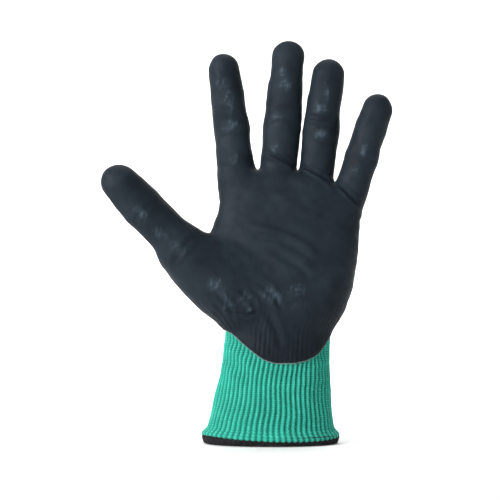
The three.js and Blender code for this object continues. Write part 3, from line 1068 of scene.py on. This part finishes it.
# The middle of each patch, x and z, then its width, height and lean.
CRUMPLES = (
    # The fingers, from the index finger to the little one.
    Crumple(-32.5, 227.5, 1.8, 5),
    Crumple(-28.5, 223, 2.8, 5),
    Crumple(-26.5, 214, 5.0, 9, -0.1),
    Crumple(-25, 198, 6.5, 6),
    Crumple(-23.5, 178, 3.5, 5),
    Crumple(8, 231, 3.2, 5),
    Crumple(9, 223, 5, 5),
    Crumple(4.5, 204, 4, 5),
    Crumple(3.5, 184, 4.5, 5.5),
    Crumple(34.5, 220, 2.2, 8),
    Crumple(31, 209, 6, 4.5),
    Crumple(31, 193, 5, 5),
    Crumple(58, 183, 3.2, 6, 0.3),
    Crumple(53, 171, 3.6, 4.5, 0.3),
    # The thumb.
    Crumple(-79.5, 143, 4.5, 6, -0.6),
    Crumple(-69, 132, 5, 5, -0.6),
    Crumple(-57, 122, 5, 5, -0.6),
    # The heel of the hand.
    Crumple(-27, 88.5, 5.5, 9, -0.3),
    Crumple(-15.5, 89, 6, 8, -0.4),
    Crumple(0, 93, 9, 8, -0.3),
    Crumple(-34, 100, 6, 6),
    Crumple(16, 96, 7, 6),
)


# ---- The knit liner and the coating on it -------------------------------------------------------

# How far back the coating reaches round the hand, from the thumb's side to the little finger's.
SIDE_EDGE = in_metres((-80, -58, -26, 0, 90), (-14, -7, 3, 4, 3.5))
# The height of the coating's lower edge, which hangs down over the cuff like a tongue.
TONGUE_EDGE = in_metres(
    (-42, -34, -27, -20, -12, -5, 4, 14, 23, 31, 36, 42),
    (71.5, 72, 71, 65.6, 58, 52.6, 50, 50.6, 52.6, 58, 66, 77),
)


@dataclass
class Skin:
    """The liner and the coating above the cuff, cut into the palm and the lengths of each digit."""

    hand: Hand
    cell: float = 1.0 * MM
    knit_wall: float = WALL
    coating_wall: float = 1.0 * MM
    edge_wall: float = 0.3 * MM
    edge_run: float = 2.6 * MM
    bedding: float = 0.1 * MM
    rib_cover: float = 0.5 * MM
    cuff_top: float = 72.3 * MM
    wale: float = 1.9 * MM
    course: float = COURSE
    ribs: int = RIBS
    coated_back: float = 0.42
    tip_cap: float = 9 * MM
    low_corner: Place = (-112 * MM, -38 * MM, 44 * MM)
    high_corner: Place = (78 * MM, 30 * MM, 256 * MM)
    thumb_cut: float = 0.6 * MM
    finger_cut: float = 2.0 * MM
    rim_run: float = 1.1 * MM
    wrinkle_height: float = 0.42 * MM
    print_height: float = 0.34 * MM
    finishes: dict[Slot, bpy.types.Material] = field(default_factory=dict)

    def build(self) -> None:
        """Makes every piece of the liner and the coating."""
        corners = np.array(self.low_corner), np.array(self.high_corner)
        net = Wrap(self.hand, *corners, self.cell).make()
        log.info("hand net: %d points", len(net.points))
        self.measure(net)
        liner = net.cut(net.points[:, 2] - self.cuff_top)
        coating = net.cut(net.values["coated"])
        for sheet, kind in ((liner, Slot.LINER), (coating, Slot.COATING)):
            self.split(sheet, kind)

    def measure(self, net: Sheet) -> None:
        """Adds to the net everything that its pieces take from it.

        Args:
            net: The net over the whole hand, whose values are added to.
        """
        points = net.points
        normals = self.hand.slope(points)
        located = [digit.locate(points) for digit in self.hand.digits]
        fields = [digit.distance_to(points) for digit in self.hand.digits]
        coated = self.coated(points, located, fields)
        puff, thin_and_highlight = self.relief(points)
        wall_rise = (self.coating_wall - self.edge_wall) * ease(0, self.edge_run, coated)
        wall = self.edge_wall + wall_rise
        bedding = self.bedding + self.rib_cover * ease(82 * MM, 72 * MM, points[:, 2])
        face = points + normals * (bedding + wall + puff)[:, None]
        net.values = {
            "place": points,
            "stitch": self.stitches(points, located, self.owners(located, fields)),
            "coated": coated,
            "thin_and_highlight_share": thin_and_highlight,
            "rim": np.clip(1 - coated / self.rim_run, 0, 1),
            "coat_face": face,
            "coat_face_normal": Sheet(face, net.faces).normals(),
            "coat_back": points + normals * bedding[:, None],
            "knit_face": points,
            "knit_face_normal": net.normals(),
            "knit_back": points - normals * self.knit_wall,
        }

    def owners(self, located: list[Array], fields: list[Array]) -> Array:
        """Finds the digit that each point of the net belongs to.

        Args:
            located: The points as each digit measures them.
            fields: The points' distances from each digit.

        Returns:
            The digits' numbers, with -1 for the palm.
        """
        owner = np.full(len(fields[0]), -1)
        nearest = np.argmin(np.stack(fields), axis=0)
        for k, local in enumerate(located):
            owner[(nearest == k) & (fields[k] < 4 * MM) & (local[:, 0] > -16 * MM)] = k
        return owner

    def stitches(self, points: Array, located: list[Array], owner: Array) -> Array:
        """Counts wales and courses at each point.

        Args:
            points: The net's points.
            located: The points as each digit measures them.
            owner: The digit that each point belongs to.

        Returns:
            Rows of wales, courses and 0.
        """
        wales, courses = points[:, 0] / self.wale, points[:, 2] / self.course
        for k, (digit, local) in enumerate(zip(self.hand.digits, located)):
            s, u, v = local.T
            half = digit.half_width(s)
            turn = np.arctan2(u / half, -v / (half * digit.pattern.depth_share))
            root = digit.stretches[0].origin
            mine = (owner == k) & (s > (0 if k else 2 * MM))
            wales = np.where(mine, (root[0] + turn * half * 0.94) / self.wale, wales)
            courses = np.where(mine, (root[2] + s) / self.course, courses)
        return np.stack([wales, courses, 0 * wales], axis=1)

    def coated(self, points: Array, located: list[Array], fields: list[Array]) -> Array:
        """Works out how far inside the coating's edge each point lies.

        Args:
            points: The net's points.
            located: The points as each digit measures them.
            fields: The points' distances from each digit.

        Returns:
            Distances, negative where the knit is left bare.
        """
        x, y, z = points.T
        waver = Ripple(19 * MM, 3)(points) * 0.5 * MM + Ripple(6 * MM, 4)(points) * 0.12 * MM
        depth = SIDE_EDGE(x) - y
        for k, (digit, local) in enumerate(zip(self.hand.digits, located)):
            s, _, v = local.T
            deep = digit.half_width(s) * digit.pattern.depth_share
            along = v + self.coated_back * deep
            cap = s - (digit.length - self.tip_cap)
            own = -soft_min(-along, -cap, 6 * MM)
            share = ease(-12 * MM, 2 * MM, s) * (1 - ease(1 * MM, 6 * MM, fields[k]))
            depth = depth * (1 - share) + own * share
        tongue = sum(TONGUE_EDGE(x + shift * MM) for shift in (-4, -2, 0, 2, 4)) / 5
        low = (z - tongue) * 0.8
        joined = soft_min(depth, np.where(z < 110 * MM, low, 1.0), 5 * MM)
        return joined + waver * (0.4 + 0.6 * ease(66 * MM, 80 * MM, z))

    def relief(self, points: Array) -> tuple[Array, Array]:
        """Works out the coating's folds, fine ridges and the knit's print through it.

        Args:
            points: The net's points.

        Returns:
            Outward offsets, and the share of painted highlight on the wrinkles, partly the paler
            look of rubber stretched thinly, from 0 to about 1.
        """
        x, y, z = points.T
        palm_side = ease(4 * MM, -5 * MM, y)
        folds = sum(crease.height(x, z) for crease in CREASES) * palm_side
        patches = sum(crumple.share(x, z) for crumple in CRUMPLES) * palm_side
        fine = np.minimum(patches, 1) * self.wrinkles(points)
        wander = Ripple(18 * MM, 11)(points) * 0.30 * MM + Ripple(8 * MM, 12)(points) * 0.09 * MM
        patchy = 0.55 + 0.45 * Ripple(22 * MM, 15)(points)
        printed = ease(100 * MM, 66 * MM, z) * (0.4 + 0.6 * palm_side) * np.maximum(patchy, 0)
        printed = printed * np.cos(TURN * rib_phase(self.hand, points, self.ribs))
        # Painted highlight on the crumpled patches and their ridges, partly the paler look of rubber
        # stretched thinly.
        thin_and_highlight = np.minimum(patches, 1) * 0.26 + fine
        return folds + wander + self.wrinkle_height * fine + self.print_height * printed, thin_and_highlight

    def wrinkles(self, points: Array) -> Array:
        """Works out a web of fine ridges that run mostly along the fingers.

        Args:
            points: The net's points.

        Returns:
            The ridges' heights, from 0 to 1.
        """
        drawn_out = points * [1.0, 0.5, 0.42]
        web = np.abs(Ripple(5 * MM, 41)(drawn_out))
        cross = np.abs(Ripple(7 * MM, 43)(points * [0.5, 0.5, 1.2]))
        ridges = np.maximum(1 - web / 0.5, 0) + 0.7 * np.maximum(1 - cross / 0.3, 0)
        return np.minimum(ridges, 1) ** 1.2

    def split(self, sheet: Sheet, kind: Slot) -> None:
        """Cuts a sheet into the palm and a length of each digit for each of its bodies, and fixes
        the palm's piece to the hand's body.

        Args:
            sheet: The liner's or the coating's sheet.
            kind: Which of the two it is.
        """
        prefix = "knit" if kind is Slot.LINER else "coating"
        rest = sheet
        for k, digit in enumerate(self.hand.digits):
            first = self.finger_cut if k else self.thumb_cut
            middles = [(a + b) / 2 for a, b in zip(digit.joints, digit.joints[1:])]
            last = 2 * digit.joints[-1] - middles[-1]
            own, rest = self.take(rest, k, digit, first)
            for n, (start, stop) in enumerate(zip([first, *middles], [*middles, last])):
                part = own.cut(self.beyond(own, digit, start)) if n else own
                if n < len(middles):
                    part = part.cut(-self.beyond(part, digit, stop))
                body = digit.stretches[n + 1].body
                piece = self.piece(f"{prefix}_{body}_skin", part, kind)
                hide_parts(f"{prefix}_{body}")
                tuple(digit.place(start))
                tuple(digit.place(stop))
                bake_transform(piece)
        piece = self.piece(f"{prefix}_hand_skin", rest, kind)
        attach(piece, HAND)
        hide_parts("knit_hand" if kind is Slot.LINER else "coating_palm")

    def beyond(self, sheet: Sheet, digit: Digit, distance: float) -> Array:
        """Returns how far a sheet's points lie beyond a plane across a digit."""
        return (sheet.points - digit.place(distance)) @ digit.way(distance)

    def take(self, sheet: Sheet, k: int, digit: Digit, first: float) -> tuple[Sheet, Sheet]:
        """Parts a digit from the rest of the sheet.

        Args:
            sheet: The sheet with the digit still on it.
            k: The digit's number.
            digit: The digit.
            first: Where it is cut, from its root plane.

        Returns:
            The digit's own sheet and the rest.
        """
        level = self.beyond(sheet, digit, first)
        centres = sheet.points[sheet.faces].mean(axis=1)
        fields = [other.distance_to(centres) for other in self.hand.digits]
        whole = np.argmin(np.stack(fields), axis=0) == k
        whole &= fields[k] < 6 * MM
        mine = Sheet(sheet.points, sheet.faces[whole], sheet.values).cut(level)
        below = Sheet(sheet.points, sheet.faces[whole], sheet.values).cut(-level)
        others = Sheet(sheet.points, sheet.faces[~whole], sheet.values).cut(
            np.ones(len(sheet.points))
        )
        return mine, welded([others, below])

    def piece(self, name: str, sheet: Sheet, kind: Slot) -> bpy.types.Object:
        """Makes and dresses one piece of the liner or the coating.

        Args:
            name: The piece's name.
            sheet: Its part of the net.
            kind: Whether it is liner or coating.

        Returns:
            The piece.
        """
        faces = ("knit_face", "knit_back") if kind is Slot.LINER else ("coat_face", "coat_back")
        made = shell(name, sheet, *faces)
        made.data.materials.append(self.finishes[kind])
        log.info("%s: %d faces", name, len(made.data.polygons))
        return made


def welded(sheets: list[Sheet]) -> Sheet:
    """Joins sheets that share points exactly.

    Args:
        sheets: The sheets, with the same named values.

    Returns:
        One sheet, with each shared point once.
    """
    points = np.concatenate([sheet.points for sheet in sheets])
    starts = np.cumsum([0, *[len(sheet.points) for sheet in sheets]])
    faces = np.concatenate([sheet.faces + start for sheet, start in zip(sheets, starts)])
    keys = np.round(points / (0.0001 * MM)).astype(np.int64)
    _, first, back = np.unique(keys, axis=0, return_index=True, return_inverse=True)
    names = sheets[0].values
    values = {n: np.concatenate([sheet.values[n] for sheet in sheets])[first] for n in names}
    joined = back.reshape(-1)[faces]
    real = (joined[:, 0] != joined[:, 1]) & (joined[:, 1] != joined[:, 2])
    real &= joined[:, 2] != joined[:, 0]
    return Sheet(points[first], joined[real], values)


# ---- The cuff -----------------------------------------------------------------------------------


def lengths_round(hand: Hand, z: float, angles: Array) -> Array:
    """Measures along the hand's outline at a height.

    Args:
        hand: The hand.
        z: The height.
        angles: Angles of points on the outline, in order.

    Returns:
        The length from the first point to each.
    """
    ring = hand.outline(np.full(len(angles), z), angles, np.zeros(len(angles)))
    return np.concatenate([[0], np.cumsum(np.linalg.norm(np.diff(ring, axis=0), axis=1))])


def even_angles(hand: Hand, z: float, count: int) -> Array:
    """Finds angles that part the hand's outline at a height into equal lengths.

    Args:
        hand: The hand.
        z: The height.
        count: How many angles.

    Returns:
        The angles, from -pi/2, the middle of the palm side.
    """
    fine = np.linspace(-math.pi / 2, 1.5 * math.pi, 1441)
    run = lengths_round(hand, z, fine)
    return np.interp(np.arange(count) / count * run[-1], run, fine)


def rib_phase(hand: Hand, points: Array, ribs: int) -> Array:
    """Counts ribs round the cuff's outline at each point, from the middle of the palm side.

    Args:
        hand: The hand.
        points: Places on or near the cuff.
        ribs: How many ribs go round.

    Returns:
        Rib counts with their fractions.
    """
    heights = np.linspace(0, 120 * MM, 61)
    samples = 721
    fine = np.linspace(-math.pi / 2, 1.5 * math.pi, samples)
    runs = [lengths_round(hand, z, fine) for z in heights]
    table = np.stack([run / run[-1] * ribs for run in runs])
    x, y, z = points.T
    middle, wide, deep = hand.section(z, y)
    power = hand.squareness(z) / 2
    u, v = (x - middle) / wide, y / deep
    angle = np.arctan2(np.sign(v) * np.abs(v) ** power, np.sign(u) * np.abs(u) ** power)
    column = np.mod(angle + math.pi / 2, TURN) / TURN * (samples - 1)
    row = np.clip(z / heights[1], 0, len(heights) - 1.001)
    r, c = row.astype(int), np.clip(column.astype(int), 0, samples - 2)
    fr, fc = row - r, column - c
    low = table[r, c] * (1 - fc) + table[r, c + 1] * fc
    high = table[r + 1, c] * (1 - fc) + table[r + 1, c + 1] * fc
    return low * (1 - fr) + high * fr


CUFF_FOLDS = (
    Crease((-27, 66), (-8, 50), 2.0, 0.5, 3.4, 0.8),
    Crease((-30, 54), (-12, 36), 2.0, 0.4, 3.6, 0.8),
    Crease((20, 48), (34, 60), -2.0, 0.45, 3.2, 0.8),
    Crease((10, 40), (36, 46), 2.0, 0.35, 3.6, 0.8),
)


@dataclass
class Cuff:
    """The ribbed cuff, with its overlocked edge and the elastic laid into it."""

    hand: Hand
    ribs: int = RIBS
    per_rib: int = 7
    course: float = COURSE
    per_course: int = 3
    wall: float = WALL
    bottom: float = 1.6 * MM
    top: float = 74.5 * MM
    hem_height: float = 4.7 * MM
    hem_rise: float = 0.45 * MM
    lip: float = 1.9 * MM
    lip_height: float = 6.3 * MM
    hem_half_wall: float = 1.55 * MM
    hem_roundness: float = 0.62
    wraps: int = 215
    rib_waver: float = 0.016
    waver_pitch: float = 34 * MM
    rib_height: float = 0.95 * MM
    bead_height: float = 0.26 * MM
    slack: float = 0.3 * MM
    ply: float = 1.1 * MM
    elastics: int = 4
    finishes: dict[Slot, bpy.types.Material] = field(default_factory=dict)

    def build(self) -> None:
        """Makes the cuff, its hem and its elastic."""
        self.rib_tube()
        self.hem_core()
        self.hem_wraps()
        self.hem_chain()
        for number in range(1, self.elastics + 1):
            self.elastic(number)

    def finish(self, piece: bpy.types.Object, slot: Slot, *nodes: str) -> None:
        """Dresses a piece and fixes it to the hand's body.

        Args:
            piece: The piece.
            slot: The finish it takes.
            *nodes: The nodes it stands for.
        """
        piece.data.materials.append(self.finishes[slot])
        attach(piece, HAND)
        if nodes:
            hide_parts(*nodes)
        log.info("%s: %d faces", piece.name, len(piece.data.polygons))

    def rib_tube(self) -> None:
        """Makes the knitted tube with its real ribs and the stitches along them."""
        columns = self.ribs * self.per_rib
        rows = int((self.top - self.bottom) / (self.course / self.per_course))
        z = np.linspace(self.bottom, self.top, rows)
        angles = np.stack([even_angles(self.hand, h, columns) for h in z])
        height = np.repeat(z[:, None], columns, axis=1)
        lean = np.sin(TURN * height / self.waver_pitch + 2 * angles + 0.7)
        angles = angles + self.rib_waver * lean * ease(6 * MM, 20 * MM, height)
        phase = np.arange(columns)[None, :] / self.per_rib + 0 * height
        courses = height / self.course
        rib = (0.5 + 0.5 * np.cos(TURN * phase)) ** 0.7
        bead = 0.5 + 0.5 * np.cos(TURN * (courses + 0.25 * np.sin(TURN * phase)))
        strength = 1 - 0.35 * ease(66 * MM, self.top, height)
        raised = self.rib_height * rib + self.bead_height * bead * (0.35 + 0.65 * rib)
        grow = self.slackened(raised * strength - self.rib_height, height, angles)
        grow, fallen = self.with_lip(grow, height, angles, rib)
        outer = self.hand.outline(height.ravel(), angles.ravel(), grow.ravel())
        outer[:, 2] = fallen.ravel()
        back = -(self.wall + 0.6 * MM) + 0.12 * MM * (1 - rib) * strength
        coarse = slice(None, None, 3)
        inner = self.hand.outline(*(v[coarse].ravel() for v in (height, angles, back)))
        points = np.concatenate([outer, inner])
        inner_rows = len(z[coarse])
        faces = [
            ring_faces(rows, columns, 0),
            ring_faces(inner_rows, columns, len(outer))[:, ::-1],
            bridge(columns, 0, len(outer))[:, ::-1],
            bridge(columns, (rows - 1) * columns, len(outer) + (inner_rows - 1) * columns),
        ]
        # Painted shade for the rib's material: low in the hollows between the ribs and between the
        # beads of each course, high on the ribs' crests.
        lit = 0.10 + 0.90 * rib * (0.5 + 0.5 * bead)
        stitch = np.stack([phase, courses, lit], axis=-1)
        counted = np.concatenate([v.reshape(-1, 3) for v in (stitch, stitch[coarse])])
        values = {"stitch": counted, "place": points}
        piece = as_object("rib_cuff", points, np.concatenate(faces), values)
        self.finish(piece, Slot.CUFF, "knit_cuff")

    def slackened(self, grow: Array, height: Array, angles: Array) -> Array:
        """Adds the cuff's uneven slack and folds, and draws its lower edge in.

        Args:
            grow: Distances of the knit's face outside the hand's outline.
            height: The points' heights.
            angles: The points' angles round the outline.

        Returns:
            The new distances.
        """
        plain = self.hand.outline(height.ravel(), angles.ravel(), 0 * height.ravel())
        slack = Ripple(24 * MM, 31)(plain) * ease(8 * MM, 24 * MM, height.ravel())
        folds = sum(crease.height(plain[:, 0], plain[:, 2]) for crease in CUFF_FOLDS)
        grow = grow + (slack * self.slack + folds * (plain[:, 1] < 0)).reshape(grow.shape)
        pinch = ease(9 * MM, self.bottom, height)
        return grow * (1 - 0.4 * pinch) - 0.3 * MM * pinch

    def with_lip(
        self, grow: Array, height: Array, angles: Array, rib: Array
    ) -> tuple[Array, Array]:
        """Rolls the knit over the hem in a soft lip that sags most in front.

        Args:
            grow: Distances of the knit's face outside the hand's outline.
            height: The points' heights.
            angles: The points' angles round the outline.
            rib: How far each point is up its rib, from 0 to 1.

        Returns:
            The new distances and the new heights.
        """
        above = height - self.lip_height
        front = np.maximum(0, np.cos(angles + math.pi / 2 - 0.45)) ** 1.5
        sag = (3.3 * front - 0.4) * (0.78 + 0.22 * rib) * MM
        tucked = ease(-2.6 * MM, -0.8 * MM, above)
        lip = (self.lip + 0.6 * MM * (1 - rib)) * bump(above, 3.3 * MM) * tucked
        return grow + lip, height - sag * bump(above, 4.6 * MM)

    def around_edge(self, turn: Array, lift: Array, angle: Array) -> Array:
        """Finds points round the knit's lower edge.

        Args:
            turn: Angles round the cuff, as shares of a whole turn.
            lift: Extra distances outside the hem's thread.
            angle: Angles round the edge's own section, 0 outside and a quarter turn below.

        Returns:
            One point per row.
        """
        around = np.interp(np.mod(turn, 1), np.arange(721) / 720, self.ring_angles)
        half_wall, half_height = self.hem_half_wall + lift, self.hem_height / 2 + lift
        c, s = (np.sign(v) * np.abs(v) ** self.hem_roundness for v in (np.cos(angle), np.sin(angle)))
        rise = half_height - s * half_height
        tuck = 0.9 * MM * (1 - ease(0, self.hem_height, rise))
        across = half_wall * c - 0.6 * MM - tuck
        points = self.hand.outline(np.full(len(turn), 2.5 * MM), around, across)
        points[:, 2] = self.hem_rise + rise
        return points

    @property
    def ring_angles(self) -> Array:
        """Angles at equal lengths round the hem."""
        angles = even_angles(self.hand, 3 * MM, 720)
        return np.append(angles, angles[0] + TURN)

    def hem_core(self) -> None:
        """Makes the dense thread under the wraps, which closes the band."""
        columns, around = 360, 14
        turn = np.repeat(np.arange(columns) / columns, around)
        angle = np.tile(np.arange(around) / around * TURN, columns)
        points = self.around_edge(turn, np.full(len(turn), -0.24 * MM), angle)
        stitch = np.stack([turn * 400, angle, 0 * turn], axis=1)
        faces = ring_faces(columns, around, 0, closed=True)
        piece = as_object("hem_core", points, faces, {"stitch": stitch, "place": points})
        self.finish(piece, Slot.HEM, "hem_overlock")

    def strand(self, name: str, path: Array, radius: float, slot: Slot, *nodes: str) -> None:
        """Makes a closed round strand along a path.

        Args:
            name: The piece's name.
            path: Its points, one row each, whose end meets its start.
            radius: The strand's radius.
            slot: The finish it takes.
            *nodes: The nodes it stands for.
        """
        sides = 6
        along = np.roll(path, -1, axis=0) - np.roll(path, 1, axis=0)
        along /= np.linalg.norm(along, axis=1, keepdims=True)
        spoke = np.cross(along, path - [0, 0, 60 * MM])
        spoke /= np.linalg.norm(spoke, axis=1, keepdims=True)
        other = np.cross(along, spoke)
        angle = np.arange(sides) / sides * TURN
        c, s = (v[None, :, None] for v in (np.cos(angle), np.sin(angle)))
        rings = path[:, None] + radius * c * spoke[:, None] + radius * s * other[:, None]
        points = rings.reshape(-1, 3)
        length = np.cumsum(np.linalg.norm(np.diff(path, axis=0, append=path[:1]), axis=1))
        ply = np.repeat(length / self.ply, sides) + np.tile(angle / TURN, len(path))
        values = {"stitch": np.stack([ply, ply, ply], axis=1), "place": points}
        faces = ring_faces(len(path), sides, 0, closed=True)
        self.finish(as_object(name, points, faces, values), slot, *nodes)

    def hem_wraps(self) -> None:
        """Makes the thread that goes over and over the edge."""
        per_wrap = 14
        count = self.wraps * per_wrap
        share = np.arange(count) / count
        uneven = 0.25 * np.sin(TURN * share * 23) + 0.2 * np.sin(TURN * share * 61)
        turn = share + uneven / self.wraps
        angle = TURN * self.wraps * share
        path = self.around_edge(turn, np.full(count, -0.12 * MM), angle)
        self.strand("hem_wraps", path, 0.5 * MM, Slot.HEM)

    def hem_chain(self) -> None:
        """Makes the looped thread along the band's upper edge."""
        count = self.wraps * 6
        share = np.arange(count) / count
        angle = -1.05 + 0.16 * np.sin(TURN * self.wraps * share)
        path = self.around_edge(share, np.full(count, 0.12 * MM), angle)
        self.strand("hem_chain", path, 0.34 * MM, Slot.HEM)

    def elastic(self, number: int) -> None:
        """Makes one round of elastic yarn on the cuff's inner face.

        Args:
            number: Which round it is, from 1 for the lowest.
        """
        node = f"cuff_elastic_{number}"
        low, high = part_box(node)
        z = (low[2] + high[2]) / 2
        count = 240
        angles = even_angles(self.hand, z, count)
        grow = -2.0 * MM + 0.08 * MM * np.cos(TURN * np.arange(count) / 4)
        path = self.hand.outline(np.full(count, z), angles, grow)
        self.strand(f"elastic_round_{number}", path, 0.42 * MM, Slot.ELASTIC, node)


def ring_faces(rows: int, columns: int, start: int, closed: bool = False) -> Array:
    """Numbers the quads of a grid that closes round its columns.

    Args:
        rows: Rows of points.
        columns: Points in a row.
        start: The first point's number.
        closed: Whether the last row also joins the first.

    Returns:
        Corner numbers, one row per quad.
    """
    i = np.arange(rows if closed else rows - 1)[:, None]
    j = np.arange(columns)[None, :]
    below, above = i * columns, (i + 1) % rows * columns
    beside = (j + 1) % columns
    corners = [below + j, below + beside, above + beside, above + j]
    quads = np.stack([np.broadcast_to(c, (len(i), columns)) for c in corners], axis=-1)
    return start + quads.reshape(-1, 4)


def bridge(columns: int, first: int, second: int) -> Array:
    """Numbers the quads between two closed rows of points.

    Args:
        columns: Points in a row.
        first: The first row's first point.
        second: The second row's first point.

    Returns:
        Corner numbers, one row per quad.
    """
    j = np.arange(columns)
    beside = (j + 1) % columns
    return np.stack([first + j, first + beside, second + beside, second + j], axis=1)


# ---- The surroundings ---------------------------------------------------------------------------


@dataclass(frozen=True)
class Lamp:
    """A soft square lamp."""

    name: str
    place: Place
    power: float
    size: float
    aim: Place = (0.0, 0.0, 0.12)

    def build(self) -> None:
        """Makes the lamp and turns it to what it lights."""
        data = bpy.data.lights.new(self.name, "AREA")
        data.size = self.size
        data.energy = self.power
        lamp = bpy.data.objects.new(self.name, data)
        lamp.location = self.place
        way = Vector(self.aim) - Vector(self.place)
        lamp.rotation_euler = way.to_track_quat("-Z", "Y").to_euler()
        bpy.context.scene.collection.objects.link(lamp)


LAMPS = (
    Lamp("key", (-0.95, -0.80, 0.55), power=25.0, size=0.7),
    Lamp("fill", (0.9, -0.7, 0.25), power=0.1, size=0.9),
    Lamp("top", (0.0, 0.1, 1.1), power=2.5, size=0.8),
    Lamp("backdrop", (0.0, 0.7, 1.5), power=70.0, size=1.2, aim=(0.0, 2.6, 0.3)),
)


@dataclass(frozen=True)
class Studio:
    """The camera, the pale floor and sweep, and the soft light."""

    camera_place: Place = (-12.9 * MM, -1250 * MM, 120.8 * MM)
    view_width: float = 313.5 * MM
    sensor: float = 36.0
    world: float = 0.26
    floor_radius: float = 2.2
    floor_bend: float = 0.6
    wall_height: float = 2.6
    floor_drop: float = 0.3 * MM
    floor_tones: tuple[float, float] = (0.90, 0.93)

    def build(self) -> None:
        """Makes the surroundings."""
        self.camera()
        self.floor()
        for lamp in LAMPS:
            lamp.build()
        world = bpy.data.worlds.new("studio")
        bpy.context.scene.world = world
        world.use_nodes = True
        background = world.node_tree.nodes["Background"]
        background.inputs[0].default_value = (1, 1, 1, 1)
        background.inputs[1].default_value = self.world
        bpy.context.scene.view_settings.view_transform = "Standard"

    def camera(self) -> None:
        """Makes the camera, level and square to the palm."""
        data = bpy.data.cameras.new("camera")
        data.sensor_width = self.sensor
        data.lens = self.sensor * -self.camera_place[1] / self.view_width
        data.clip_start = 0.01
        camera = bpy.data.objects.new("camera", data)
        camera.location = self.camera_place
        camera.rotation_euler = (math.pi / 2, 0, 0)
        bpy.context.scene.collection.objects.link(camera)
        bpy.context.scene.camera = camera

    def floor(self) -> None:
        """Makes a pale floor that sweeps up into a backdrop on every side."""
        flat, bend, columns = 10, 8, 64
        turn = np.arange(1, bend + 1) / bend * math.pi / 2
        rise = self.floor_bend * (1 - np.cos(turn))
        inner = np.linspace(0.02, self.floor_radius, flat)
        radius = np.concatenate([inner, self.floor_radius + self.floor_bend * np.sin(turn)])
        height = np.concatenate([np.zeros(flat), rise[:-1], [self.wall_height]]) - self.floor_drop
        angle = np.arange(columns) / columns * TURN
        circle = np.stack([np.cos(angle), np.sin(angle), 0 * angle], axis=-1)
        points = radius[:, None, None] * circle + height[:, None, None] * np.array([0, 0, 1])
        points = points.reshape(-1, 3)
        faces = ring_faces(len(radius), columns, 0)
        floor = as_object("floor", points, faces, {})
        bench = Bench("pale_floor")
        grain = bench.noise(bench.node("TexCoord").outputs["Object"], 80 * MM, 2)
        low, high = ((tone, tone, tone, 1) for tone in self.floor_tones)
        bench.connect("Base Color", bench.mix(grain, low, high))
        bench.set(Roughness=0.8, Specular_IOR_Level=0.1)
        floor.data.materials.append(bench.material)


def main() -> None:
    """Builds the surroundings and the glove, and reports each piece."""
    logging.basicConfig(level=logging.INFO, format="%(message)s")
    Studio().build()
    finishes = {
        Slot.LINER: KnitFinish("plain_knit", plain=True).make(),
        Slot.CUFF: KnitFinish("rib_knit", plain=False).make(),
        Slot.COATING: CoatingFinish().make(),
        Slot.HEM: ThreadFinish("overlock_thread", BLACK, DEEP_BLACK).make(),
        Slot.ELASTIC: ThreadFinish("elastic_yarn", NATURAL, DULL_NATURAL).make(),
    }
    hand = Hand()
    Cuff(hand, finishes=finishes).build()
    Skin(hand, finishes=finishes).build()
    bpy.context.view_layer.update()


if __name__ == "__main__":
    main()
